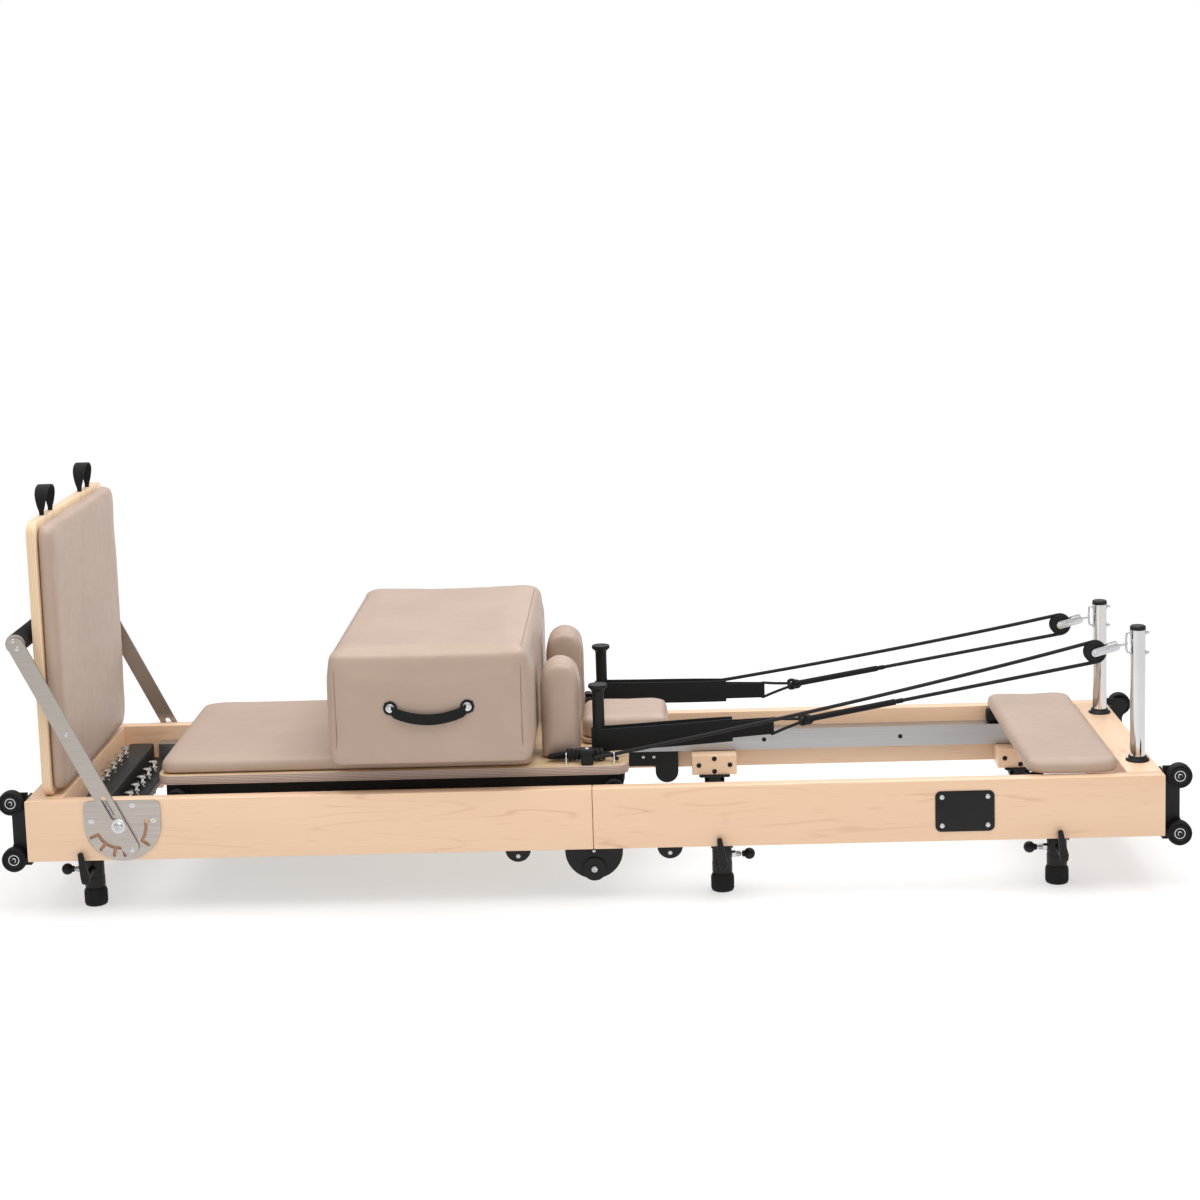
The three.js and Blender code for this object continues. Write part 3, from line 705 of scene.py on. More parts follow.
    def tube(self, points: Sequence[Point], radius: float, ring: int = 3, closed: bool = False) -> "Piece":
        """Adds a round tube along a path, with its own map along and around it.

        Args:
            points: The path.
            radius: The tube's radius.
            ring: Resolution of its section.
            closed: Whether the path is a loop.

        Returns:
            The piece.
        """
        curve = bpy.data.curves.new("scrap", "CURVE")
        curve.dimensions = "3D"
        curve.bevel_depth = radius
        curve.bevel_resolution = ring
        curve.use_fill_caps = not closed
        spline = curve.splines.new("POLY")
        spline.points.add(len(points) - 1)
        for slot, point in zip(spline.points, points):
            slot.co = (*point, 1.0)
        spline.use_cyclic_u = closed
        holder = bpy.data.objects.new("scrap", curve)
        mesh = bpy.data.meshes.new_from_object(holder)
        self.bm.from_mesh(mesh)
        bpy.data.objects.remove(holder)
        bpy.data.meshes.remove(mesh)
        bpy.data.curves.remove(curve)
        return self

    def prism(self, outline: Sequence[tuple[float, float]], side: Side, near: float, far: float,
              edge: float = 0.0) -> "Piece":
        """Adds a plate with an outline in X and Z, between two distances from the middle on one side.

        Args:
            outline: X and Z pairs, in order.
            side: The side it stands on.
            near: Its lower distance from the middle.
            far: Its higher distance from the middle.
            edge: Radius of its edges.

        Returns:
            The piece.
        """
        part = bmesh.new()
        face = part.faces.new([part.verts.new((x, side.value * near, z)) for x, z in outline])
        grown = bmesh.ops.extrude_face_region(part, geom=[face])
        moved_by(part, grown, (0, side.value * (far - near), 0))
        bmesh.ops.recalc_face_normals(part, faces=part.faces)
        if edge:
            rim = [e for e in part.edges if abs(e.verts[0].co.y - e.verts[1].co.y) < 1e-7]
            soften(part, rim, edge, 2)
        return self.absorb(part)

    def strip(self, line: Sequence[Point], rise: float, thick: float, edge: float) -> "Piece":
        """Adds a flat band of webbing that stands on edge along a line.

        Args:
            line: The points of its lower edge.
            rise: Its height.
            thick: Its thickness.
            edge: Radius of its edges.

        Returns:
            The piece.
        """
        part = bmesh.new()
        verts = [part.verts.new(point) for point in line]
        edges = [part.edges.new(pair) for pair in zip(verts, verts[1:])]
        moved_by(part, bmesh.ops.extrude_edge_only(part, edges=edges), (0, 0, rise))
        bmesh.ops.recalc_face_normals(part, faces=part.faces)
        bmesh.ops.solidify(part, geom=part.faces[:], thickness=thick)
        soften(part, [e for e in part.edges if e.calc_face_angle(0.0) > 1.0], edge, 2)
        return self.absorb(part)

    def dress(self, material: bpy.types.Material, body: str, slot: str, stands_for: Iterable[str] = (),
              angle: float = 38.0) -> bpy.types.Object:
        """Makes the piece an object with its finish, riding on its body.

        Args:
            material: Its finish.
            body: The frame body that it moves with.
            slot: Not used.
            stands_for: The frame nodes that it replaces.
            angle: Degrees between faces above which an edge stays sharp.

        Returns:
            The object.
        """
        bmesh.ops.remove_doubles(self.bm, verts=self.bm.verts, dist=1e-7)
        mesh = bpy.data.meshes.new(self.name)
        self.bm.to_mesh(mesh)
        self.bm.free()
        made = bpy.data.objects.new(self.name, mesh)
        bpy.context.scene.collection.objects.link(made)
        mesh.materials.append(material)
        mesh.shade_smooth()
        mesh.set_sharp_from_angle(angle=math.radians(angle))
        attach(made, body)
        if stands_for:
            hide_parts(*stands_for)
        LOG.info("piece %s on %s", self.name, body)
        return made


def repaint(node: str, material: bpy.types.Material) -> None:
    """Gives a frame node a better finish.

    Args:
        node: The node's name.
        material: Its finish.
    """
    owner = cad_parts[node]
    if not owner.material_slots:
        owner.data.materials.append(material)
    for slot in owner.material_slots:
        slot.material = material
    LOG.info("finish %s on %s", material.name, node)


def outward(side: Side) -> Vector:
    """The direction that faces away from the middle on one side."""
    return Vector((0, side.value, 0))


# ---------------------------------------------------------------- studio


@dataclass
class Studio:
    """The pale floor, the soft lights and the camera."""

    eye: Point = (0.1402, -4.9748, 1.5858)
    yaw: float = -0.0221
    pitch: float = 0.1392
    roll: float = -0.0298
    lens: float = 69.03
    shift: float = -0.1146

    def build(self) -> None:
        """Builds the whole studio."""
        self.camera()
        self.floor()
        self.world()
        self.lamp("top_softbox", (0.0, -0.5, 3.4), 3.4, 82.0)
        self.lamp("back_softbox", (1.0, 2.6, 2.9), 2.6, 27.0)
        self.lamp("front_fill", (0.6, -4.8, 1.3), 3.0, 6.0)
        bpy.context.scene.view_settings.view_transform = "Standard"

    def camera(self) -> None:
        """Places the camera from its yaw, pitch and roll."""
        data = bpy.data.cameras.new("camera")
        data.lens = self.lens
        data.sensor_width = 36.0
        data.shift_y = self.shift
        forward = Vector((math.sin(self.yaw) * math.cos(self.pitch),
                          math.cos(self.yaw) * math.cos(self.pitch), -math.sin(self.pitch)))
        level = Vector((math.cos(self.yaw), -math.sin(self.yaw), 0))
        upright = level.cross(forward)
        right = math.cos(self.roll) * level + math.sin(self.roll) * upright
        up = math.cos(self.roll) * upright - math.sin(self.roll) * level
        camera = bpy.data.objects.new("camera", data)
        facing = Matrix((right, up, -forward)).transposed().to_4x4()
        camera.matrix_world = Matrix.Translation(self.eye) @ facing
        bpy.context.scene.collection.objects.link(camera)
        bpy.context.scene.camera = camera

    def floor(self) -> None:
        """Lays a wide pale floor that glows a little, and turns plain white away from the machine."""
        bm = bmesh.new()
        bmesh.ops.create_grid(bm, x_segments=1, y_segments=1, size=40.0)
        mesh = bpy.data.meshes.new("floor")
        bm.to_mesh(mesh)
        bm.free()
        floor = bpy.data.objects.new("floor", mesh)
        bpy.context.scene.collection.objects.link(floor)
        g = Graph("pale_floor")
        at = g.place()
        away = g.node("VectorMath", {0: at}, operation="LENGTH").outputs["Value"]
        plain = g.spread(away, 1.2, 3.2, 0.0, 1.0)
        g.surface(Base_Color=g.blend(plain, (0.5, 0.5, 0.5), (0.0, 0.0, 0.0)), Roughness=0.9,
                  Specular_IOR_Level=0.0)
        g.surface(Emission_Color=(1.0, 1.0, 1.0), Emission_Strength=g.spread(away, 1.2, 3.2, 0.5, 1.0))
        mesh.materials.append(g.material)

    def world(self) -> None:
        """Lights from all round: bright above, dimmer towards the horizon."""
        world = bpy.data.worlds.new("studio")
        world.use_nodes = True
        nodes, links = world.node_tree.nodes, world.node_tree.links
        background = nodes["Background"]
        coords = nodes.new("ShaderNodeTexCoord")
        split = nodes.new("ShaderNodeSeparateXYZ")
        height = nodes.new("ShaderNodeMapRange")
        path = nodes.new("ShaderNodeLightPath")
        seen = nodes.new("ShaderNodeMath")
        seen.operation = "MAXIMUM"
        links.new(coords.outputs["Generated"], split.inputs[0])
        links.new(split.outputs[2], height.inputs[0])
        for index, value in enumerate((0.0, 0.7, 0.24, 0.98), start=1):
            height.inputs[index].default_value = value
        links.new(height.outputs[0], seen.inputs[0])
        links.new(path.outputs["Is Camera Ray"], seen.inputs[1])
        links.new(seen.outputs[0], background.inputs["Strength"])
        background.inputs["Color"].default_value = (1.0, 1.0, 1.0, 1.0)
        bpy.context.scene.world = world

    def lamp(self, name: str, place: Point, size: float, power: float) -> None:
        """Adds a square soft light aimed at the middle of the machine.

        Args:
            name: Its name.
            place: Where it hangs.
            size: The length of its sides.
            power: Its power in watts.
        """
        data = bpy.data.lights.new(name, "AREA")
        data.size = size
        data.energy = power
        lamp = bpy.data.objects.new(name, data)
        aim = Vector((0, 0, 0.3)) - Vector(place)
        lamp.matrix_world = Matrix.Translation(place) @ aim.to_track_quat("-Z", "Y").to_matrix().to_4x4()
        bpy.context.scene.collection.objects.link(lamp)


# ---------------------------------------------------------------- ropes and straps


@dataclass
class PulleyRopes:
    """Each side's rope, knot, sleeve and padded strap, from the cleat over the sheave to the peg."""

    palette: Palette
    peg: Point = PEG
    cleat: Point = (-0.008, 0.255, 0.293)
    post_y: float = POST_Y
    sheave_x: float = SHEAVE_X
    wrap: float = 0.0221
    radius: float = 0.004
    strap_end: float = 0.385
    strap_inner: float = 0.0147
    strap_thick: float = 0.0035
    travel: float = 0.82

    def strap_heights(self, side: Side) -> tuple[float, float]:
        """The heights of the strap's middle at the peg and at its end."""
        return (0.320, 0.338) if side is Side.FRONT else (0.331, 0.325)

    def upper(self, side: Side) -> list[Point]:
        """The run from the cleat to the top of the sheave, and round it.

        Args:
            side: The side of the machine.

        Returns:
            The points, in order.
        """
        z = side.sheave_z
        x0, y0, z0 = self.cleat
        points = [(x0, side.value * y0, z0)]
        for i in range(1, 10):
            t = i / 10
            points.append((x0 + t * (self.sheave_x - x0), side.value * (y0 + t * (self.post_y - y0)),
                           z0 + t * (z + self.wrap - z0) - 0.036 * t * (1 - t)))
        for degrees in range(100, -81, -15):
            a = math.radians(degrees)
            points.append((self.sheave_x + self.wrap * math.cos(a), side.value * self.post_y,
                           z + self.wrap * math.sin(a)))
        return points

    def knot_at(self, side: Side) -> Vector:
        """Where the knot sits on the lower run.

        Args:
            side: The side of the machine.

        Returns:
            The point.
        """
        end = self.strap_heights(side)[1]
        t = 0.070 / (self.sheave_x - self.strap_end)
        tail = side.sheave_z - 0.0215
        return Vector((self.strap_end + 0.070, side.value * (self.peg[1] + t * (self.post_y - self.peg[1])),
                       end + t * (tail - end)))

    def follow(self, piece: bpy.types.Object) -> None:
        """Gives a piece its own copy of its mesh.

        Args:
            piece: The piece.
        """
        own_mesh(piece)

    def build(self) -> None:
        """Builds both sides."""
        for side in Side:
            self.ropes(side)
            self.follow(self.knot(side))
            self.follow(self.sleeve(side))
            self.strap(side)

    def ropes(self, side: Side) -> None:
        """The rope's two runs, and its turn round the sheave, up to the knot.

        Args:
            side: The side of the machine.
        """
        points = self.upper(side)
        knot = self.knot_at(side)
        last = Vector(points[-1])
        back = [last.lerp(knot, i / 7) for i in range(1, 8)]
        runs = (("run", points[:11], self.cleat[0]), ("turn", points[10:], None),
                ("return", [last, *back], self.peg[0]))
        for tag, path, end in runs:
            piece = Piece(f"pulley_rope_{side.label}_{tag}")
            piece.tube(smooth_path(path, 8), self.radius)
            made = piece.dress(self.palette.rope, "frame_right", "webbing", angle=180.0)
            if end is not None:
                self.follow(made)

    def knot(self, side: Side) -> bpy.types.Object:
        """The knot, and the small eye of cord that it ties to the strap.

        Args:
            side: The side of the machine.

        Returns:
            The object.
        """
        knot = self.knot_at(side)
        y = side.value * self.peg[1]
        end = self.strap_heights(side)[1]
        piece = Piece(f"rope_knot_{side.label}")
        bow = []
        for i in range(60):
            a = 2 * math.pi * i / 60
            reach = 0.0068 + 0.0042 * math.cos(3 * a)
            bow.append(knot + Vector((1.35 * reach * math.cos(2 * a), 0.0058 * math.sin(3 * a),
                                      reach * math.sin(2 * a))))
        piece.tube(bow, self.radius * 0.95, closed=True)
        piece.ball(knot, 0.0062, 16)
        eye = [Vector((self.strap_end - 0.001, y, end + 0.017)),
               Vector((self.strap_end - 0.001, y, end - 0.017))]
        for corner in eye:
            near = knot.lerp(corner, 0.16) + Vector((0, 0, 0.0012 if corner.z > end else -0.0012))
            piece.tube(smooth_path([knot, near, knot.lerp(corner, 0.6), corner], 4), self.radius * 0.8)
        piece.tube([eye[0] + Vector((0, 0, 0.002)), eye[1] - Vector((0, 0, 0.002))], self.radius * 0.8)
        return piece.dress(self.palette.short_braid, "frame_right", "webbing", angle=180.0)

    def sleeve(self, side: Side) -> bpy.types.Object:
        """The doubled, sleeved length of rope behind the knot.

        Args:
            side: The side of the machine.

        Returns:
            The object.
        """
        knot = self.knot_at(side)
        last = Vector(self.upper(side)[-1])
        along = (last - knot).normalized()
        piece = Piece(f"rope_sleeve_{side.label}")
        for start, end, radius in ((0.008, 0.196, 0.0066), (0.196, 0.212, 0.0052)):
            piece.rod(knot + along * start, knot + along * end, radius, 0.0015, 20)
        return piece.dress(self.palette.webbing, "frame_right", "webbing")

    def strap(self, side: Side) -> None:
        """The padded foot strap, a flat loop round its peg, with its plainer webbing end.

        Args:
            side: The side of the machine.
        """
        start, end = self.strap_heights(side)
        radius = self.strap_inner + self.strap_thick / 2
        band = Piece(f"foot_strap_{side.label}")
        y = side.value * self.peg[1]
        far = [(0.30, 0.0125), (0.24, 0.0165), (0.17, 0.0178), (0.10, 0.0172), (0.05, radius + 0.0005)]
        turn = [(self.peg[0] + radius * math.cos(a), radius * math.sin(a))
                for a in (math.radians(90 + 15 * i) for i in range(13))]
        line = [*far, *turn, *[(x, -w) for x, w in reversed(far)]]
        self.band(band, line, y, 0.050, start, end, 0.0046)
        outer = band.dress(self.palette.webbing, "frame_right", "webbing", [f"rope_{side.label}"])
        narrow = Piece(f"strap_webbing_{side.label}")
        ends = ((0.385, 0.0030), (0.34, 0.0062), (0.29, 0.0098), (0.23, 0.0128))
        for sign in (1, -1):
            tongue = [(x, sign * w) for x, w in ends]
            self.band(narrow, tongue, y, 0.036, start, end, 0.003)
        narrow.rod((0.384, y, end - 0.017), (0.384, y, end + 0.017), 0.0045, 0.001, 16)
        inner = narrow.dress(self.palette.webbing, "frame_right", "webbing")
        for piece in (outer, inner):
            self.follow(piece)

    def band(self, piece: Piece, line: Sequence[tuple[float, float]], y: float, height: float, start: float,
             end: float, thick: float) -> None:
        """Adds a flat band that stands on edge along a line in X and Y.

        Args:
            piece: The piece that it joins.
            line: X, and Y from the strap's middle.
            y: The strap's middle.
            height: The band's height.
            start: Height of its middle at the peg.
            end: Height of its middle at the strap's end.
            thick: Its thickness.
        """
        lower = []
        for point in smooth_path([(x, w, 0) for x, w in line], 3):
            t = max(0.0, (point.x - self.peg[0]) / (self.strap_end - self.peg[0]))
            middle = start + t * (end - start)
            tall = height * (1 - 0.10 * max(0.0, t - 0.2)) / 2
            lower.append((point.x, y + point.y, middle - tall))
        piece.strip(lower, height * 0.97, thick, 0.0009)


# ---------------------------------------------------------------- frame


@dataclass
class WoodenFrame:
    """The four rails with their glued leg blocks, the end beams, the tracks and the nameplate."""

    palette: Palette
    outer: float = RAIL_FACE
    thick: float = 0.030
    block_face: float = 0.220
    block_half: float = 0.052
    block_top: float = 0.165
    edge: float = 0.0022

    def build(self) -> None:
        """Builds the rails, beams, tracks and plate."""
        for side in Side:
            for half in HALVES:
                self.rail(side, half)
                self.track(side, half)
        for half in HALVES:
            low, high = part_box(f"end_beam_{half}")
            beam = Piece(f"cross_beam_{half}").slab(low, high, self.edge)
            beam.dress(self.palette.maple_cross, f"frame_{half}", "maple", [f"end_beam_{half}"])
        self.nameplate()

    def span(self, side: Side, near: float, far: float) -> tuple[float, float]:
        """The low and high Y between two distances from the middle."""
        a, b = side.value * near, side.value * far
        return min(a, b), max(a, b)

    def rail(self, side: Side, half: str) -> None:
        """One rail and its leg blocks, with the screws in their inner faces.

        Args:
            side: The side of the machine.
            half: The half of the frame, left or right.
        """
        node = f"rail_{side.label}_{half}"
        low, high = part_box(node)
        y0, y1 = self.span(side, self.outer - self.thick, self.outer)
        rail = Piece(f"side_{node}").slab((low.x, y0, low.z), (high.x, y1, high.z), self.edge)
        screws = Piece(f"block_screws_{side.label}_{half}")
        inner = self.outer - self.thick
        for x in (leg.x for leg in LEGS if leg.half == half):
            b0, b1 = self.span(side, self.block_face, inner)
            x0 = max(x - self.block_half, -1.1157)
            rail.slab((x0, b0, low.z), (x + self.block_half, b1, self.block_top), self.edge)
            for dx, dz in ((-0.036, 0), (0.036, 0), (0, 0.015), (0, -0.015)):
                centre = (x + dx, side.value * self.block_face, (low.z + self.block_top) / 2 + dz)
                cup = [(0, 0.0004), (0.0034, 0.0004), (0.0038, 0.0011), (0.0052, 0.0011), (0.0058, 0.0),
                       (0, 0)]
                screws.turned(cup, centre, -outward(side), 20)
        rail.dress(self.palette.maple_long, f"frame_{half}", "maple", [node])
        screws.dress(self.palette.plastic, f"frame_{half}", "black_steel")

    def track(self, side: Side, half: str) -> None:
        """The aluminium track's finish, its hole plugs and its bumper.

        Args:
            side: The side of the machine.
            half: The half of the frame, left or right.
        """
        node = f"track_{side.label}_{half}"
        repaint(node, self.palette.aluminium)
        low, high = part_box(node)
        face = low.y if side is Side.BACK else high.y
        plugs = Piece(f"track_plugs_{side.label}_{half}")
        for x in (-1.0, -0.72, -0.36) if half == "left" else (0.388, 0.705, 1.03):
            profile = [(0, 0.0002), (0.0036, 0.0002), (0.0046, 0.0009), (0.0052, 0.0005), (0.0052, -0.001),
                       (0, -0.001)]
            plugs.turned(profile, (x, face, 0.190), -outward(side), 24)
        plugs.dress(self.palette.plastic, f"frame_{half}", "black_steel")
        if half == "right":
            y = (low.y + high.y) / 2
            bumper = Piece(f"carriage_bumper_{side.label}")
            bumper.turned([(0, 0), (0.0130, 0), (0.0160, 0.004), (0.0168, 0.022), (0.0145, 0.030),
                           (0, 0.032)],
                          (0.938, y, high.z + 0.0172), Vector((-1, 0, 0)), 32)
            bumper.slab((0.9385, y - 0.014, high.z + 0.0002), (0.944, y + 0.014, 0.2488), 0.001)
            bumper.dress(self.palette.rubber, "frame_right", "black_rubber")

    def nameplate(self) -> None:
        """A blank black plate with a screw in each corner, on the front of the right rail."""
        x0, x1, z0, z1 = 0.713, 0.836, 0.139, 0.226
        y = -self.outer
        plate = Piece("blank_nameplate")
        plate.slab((x0, y - 0.0024, z0), (x1, y - 0.0001, z1), 0.0008, corner=0.012, thick=Axis.Y)
        plate.dress(self.palette.plastic, "frame_right", "black_steel")
        screws = Piece("nameplate_screws")
        for x in (x0 + 0.014, x1 - 0.014):
            for z in (z0 + 0.013, z1 - 0.013):
                screws.screw((x, y - 0.0023, z), outward(Side.FRONT), 0.0052, 0.0016)
        screws.dress(self.palette.zinc, "frame_right", "chrome")


@dataclass
class AnchorBar:
    """The stepped spring bar with two rows of turned anchor pins."""

    palette: Palette
    x0: float = -1.098
    step: float = -1.040
    x1: float = -0.990
    bottom: float = 0.1653
    ledge: float = 0.184
    top: float = 0.218
    half: float = 0.256
    pitch: float = 0.0625

    def build(self) -> None:
        """Builds the bar and its pins."""
        bar = Piece("spring_anchor_bar")
        bar.slab((self.x0, -self.half, self.bottom), (self.step, self.half, self.top), 0.006, segments=4)
        bar.slab((self.step - 0.004, -self.half, self.bottom), (self.x1, self.half, self.ledge), 0.004)
        bar.dress(self.palette.powder, "frame_left", "black_steel", ["spring_bar"])
        pins = Piece("spring_anchor_pins")
        profile = [(0, -0.002), (0.0074, -0.002), (0.0074, 0.002), (0.0056, 0.003), (0.0056, 0.0075),
                   (0.0092, 0.0090),
                   (0.0097, 0.0105), (0.0092, 0.0120), (0.0054, 0.0132), (0.0054, 0.0185), (0.0098, 0.0205),
                   (0.0103, 0.0225), (0.0096, 0.0246), (0.0050, 0.0260), (0, 0.0262)]
        for x, base in ((-1.079, self.top), (-1.016, self.ledge)):
            for i in range(-2, 3):
                pins.turned(profile, (x, i * self.pitch, base), UP, 24)
        pins.dress(self.palette.chrome, "frame_left", "chrome")


@dataclass
class FoldHinge:
    """The hinge leaves under the seam, with their boss and bolts."""

    palette: Palette
    pivot: Point = (0.0, 0.0665)
    lobe_x: float = 0.160
    lobe_bolt: float = 0.098
    face: float = 0.2947

    def build(self) -> None:
        """Dresses both sides' leaves and adds their hardware."""
        for side in Side:
            for half in HALVES:
                repaint(f"hinge_leaf_{side.label}_{half}", self.palette.powder)
            self.boss(side)
            self.bolts(side)

    def at(self, side: Side, x: float, z: float, distance: float) -> Vector:
        """A point at a distance from the middle on one side."""
        return Vector((x, side.value * distance, z))

    def boss(self, side: Side) -> None:
        """The round boss on the pivot, and the small stop under the seam.

        Args:
            side: The side of the machine.
        """
        boss = Piece(f"hinge_boss_{side.label}")
        profile = [(0, 0), (0.0255, 0), (0.0255, 0.0022), (0.0240, 0.0038), (0.010, 0.0038), (0.009, 0.0046),
                   (0, 0.0046)]
        boss.turned(profile, self.at(side, *self.pivot, self.face), outward(side), 48)
        stop = [(-0.011, 0.1165), (0.011, 0.1165), (0.007, 0.100), (-0.007, 0.100)]
        boss.prism(stop, side, self.face - 0.0005, self.face + 0.006, 0.0008)
        boss.dress(self.palette.powder, "frame_left", "black_steel")

    def bolts(self, side: Side) -> None:
        """The bright bolt heads.

        Args:
            side: The side of the machine.
        """
        left = Piece(f"hinge_bolts_{side.label}_left")
        left.screw(self.at(side, *self.pivot, self.face + 0.0044), outward(side), 0.0072, 0.0042, 24)
        left.screw(self.at(side, 0.0, 0.107, self.face + 0.0058), outward(side), 0.0036, 0.002)
        left.screw(self.at(side, -self.lobe_x, self.lobe_bolt, self.face), outward(side), 0.0052, 0.003)
        left.dress(self.palette.zinc, "frame_left", "chrome")
        right = Piece(f"hinge_bolts_{side.label}_right")
        right.screw(self.at(side, self.lobe_x, self.lobe_bolt, self.face), outward(side), 0.0052, 0.003)
        for dx in (-0.055, -0.030):
            right.screw(self.at(side, self.lobe_x + dx, 0.148, 0.2821), -outward(side), 0.0042, 0.002)
        right.dress(self.palette.zinc, "frame_right", "chrome")


@dataclass
class AdjustableLegs:
    """Six leg sockets with their levers and plungers, and the feet that slide in them."""

    palette: Palette
    y: float = 0.250
    plate_top: float = 0.1177
    plunger_z: float = 0.078
    rail_face: float = RAIL_FACE

    def build(self) -> None:
        """Builds all six legs."""
        for side in Side:
            for leg in LEGS:
                tag = f"{side.label}_{leg.place}"
                self.socket(side, tag, leg.x, leg.half)
                self.plunger(side, tag, leg.x, leg.knob, leg.half)
                self.lever(side, tag, leg.x, leg.half)
                self.foot(side, tag, leg.x)

    def socket(self, side: Side, tag: str, x: float, half: str) -> None:
        """The plate and the clamping tube.

        Args:
            side: The side of the machine.
            tag: The leg's side and place.
            x: The leg's X.
            half: The half of the frame, left or right.
        """
        y, top = side.value * self.y, self.plate_top
        socket = Piece(f"socket_{tag}")
        socket.slab((x - 0.036, y - 0.036, top - 0.004), (x + 0.036, y + 0.036, top), 0.0006, corner=0.006)
        profile = [(0.018, 0.0403), (0.0212, 0.0403), (0.0215, 0.0418), (0.0215, 0.062), (0.0208, 0.0626),
                   (0.0208, 0.108), (0.0232, 0.1105), (0.0232, 0.1137), (0.018, 0.1137), (0.018, 0.0403)]
        socket.turned(profile, (x, y, 0), UP, 48)
        for s in (-1, 1):
            socket.slab((x + s * 0.0215 - 0.0016, y - 0.017, 0.096),
                        (x + s * 0.0215 + 0.0016, y + 0.017, top - 0.003), 0.0005)
        socket.dress(self.palette.powder, f"frame_{half}", "black_steel", [f"leg_socket_{tag}"])
        screws = Piece(f"socket_screws_{tag}")
        for dx in (-0.029, 0.029):
            for dy in (-0.028, 0.028):
                screws.screw((x + dx, y + dy, top - 0.004), -UP, 0.0042, 0.002, 16)
        screws.dress(self.palette.zinc, f"frame_{half}", "chrome")

    def plunger(self, side: Side, tag: str, x: float, knob: int, half: str) -> None:
        """The bright hexagon nut and stem, and the black ball knob.

        Args:
            side: The side of the machine.
            tag: The leg's side and place.
            x: The leg's X.
            knob: Which way along X the knob points.
            half: The half of the frame, left or right.
        """
        y, out = side.value * self.y, Vector((knob, 0, 0))
        start = Vector((x + knob * 0.0205, y, self.plunger_z))
        nut = Piece(f"plunger_{tag}")
        nut.turned([(0, 0), (0.0068, 0), (0.0074, 0.001), (0.0074, 0.0085), (0.0068, 0.0095), (0, 0.0095)],
                   start, out, 6)
        ridged = [(0, 0.0095), (0.0058, 0.0095)]
        for i in range(4):
            ridged += [(0.0064, 0.0105 + i * 0.0022), (0.0058, 0.0116 + i * 0.0022)]
        nut.turned([*ridged, (0.0045, 0.0195), (0.0036, 0.0195), (0.0036, 0.030), (0, 0.030)], start, out, 24)
        nut.dress(self.palette.zinc, f"frame_{half}", "chrome")
        ball = Piece(f"plunger_knob_{tag}")
        ball.ball(start + out * 0.0375, 0.0122, 28)
        ball.turned([(0, 0.022), (0.0058, 0.022), (0.0066, 0.0235), (0.0066, 0.030), (0, 0.030)], start, out,
                    24)
        ball.dress(self.palette.plastic, f"frame_{half}", "black_steel", angle=60.0)

    def lever(self, side: Side, tag: str, x: float, half: str) -> None:
        """The cam lever that stands in front of the rail, on its hub.

        Args:
            side: The side of the machine.
            tag: The leg's side and place.
            x: The leg's X.
            half: The half of the frame, left or right.
        """
        z = self.plunger_z
        lever = Piece(f"clamp_lever_{tag}")
        outline = [(x - 0.0065, z - 0.006), (x + 0.0015, z - 0.0085), (x + 0.0085, z - 0.004),
                   (x + 0.0100, z + 0.008),
                   (x + 0.0040, z + 0.030), (x - 0.0020, z + 0.059), (x - 0.0060, z + 0.061),
                   (x - 0.0122, z + 0.059),
                   (x - 0.0108, z + 0.028), (x - 0.0090, z + 0.006)]
        lever.prism(outline, side, self.rail_face + 0.004, self.rail_face + 0.0132, 0.0018)
        inner, outer = self.y + 0.0195, self.rail_face + 0.0125
        hub = Vector((x, side.value * inner, z + 0.004))
        lever.turned([(0, 0), (0.0078, 0), (0.0078, outer - inner - 0.014), (0.0062, outer - inner - 0.012),
                      (0.0062, outer - inner), (0, outer - inner)], hub, outward(side), 28)
        lever.dress(self.palette.plastic, f"frame_{half}", "black_steel")
        pin = Piece(f"clamp_pin_{tag}")
        pin.screw((x, side.value * (self.rail_face + 0.013), z + 0.004), outward(side), 0.0046, 0.0016, 20)
        pin.dress(self.palette.powder, f"frame_{half}", "black_steel")

    def foot(self, side: Side, tag: str, x: float) -> None:
        """The ribbed foot and its stem.

        Args:
            side: The side of the machine.
            tag: The leg's side and place.
            x: The leg's X.
        """
        foot = Piece(f"levelling_foot_{tag}")
        profile = [(0, 0), (0.0205, 0), (0.0228, 0.0012), (0.0238, 0.004), (0.0238, 0.0325), (0.0225, 0.0355),
                   (0.0190, 0.0400), (0.0174, 0.0400), (0.0174, 0.1015), (0.0160, 0.104), (0, 0.104)]
        foot.turned(profile, (x, side.value * self.y, 0), UP, 48)
        for i in range(28):
            a = 2 * math.pi * i / 28
            turn = Matrix.Translation((x, side.value * self.y, 0)) @ Matrix.Rotation(a, 4, "Z")
            foot.slab((0.0225, -0.0014, 0.005), (0.0246, 0.0014, 0.031), 0.0006, segments=1, place=turn)
        foot.dress(self.palette.rubber, f"foot_{tag}", "black_rubber", [f"foot_{tag}"])


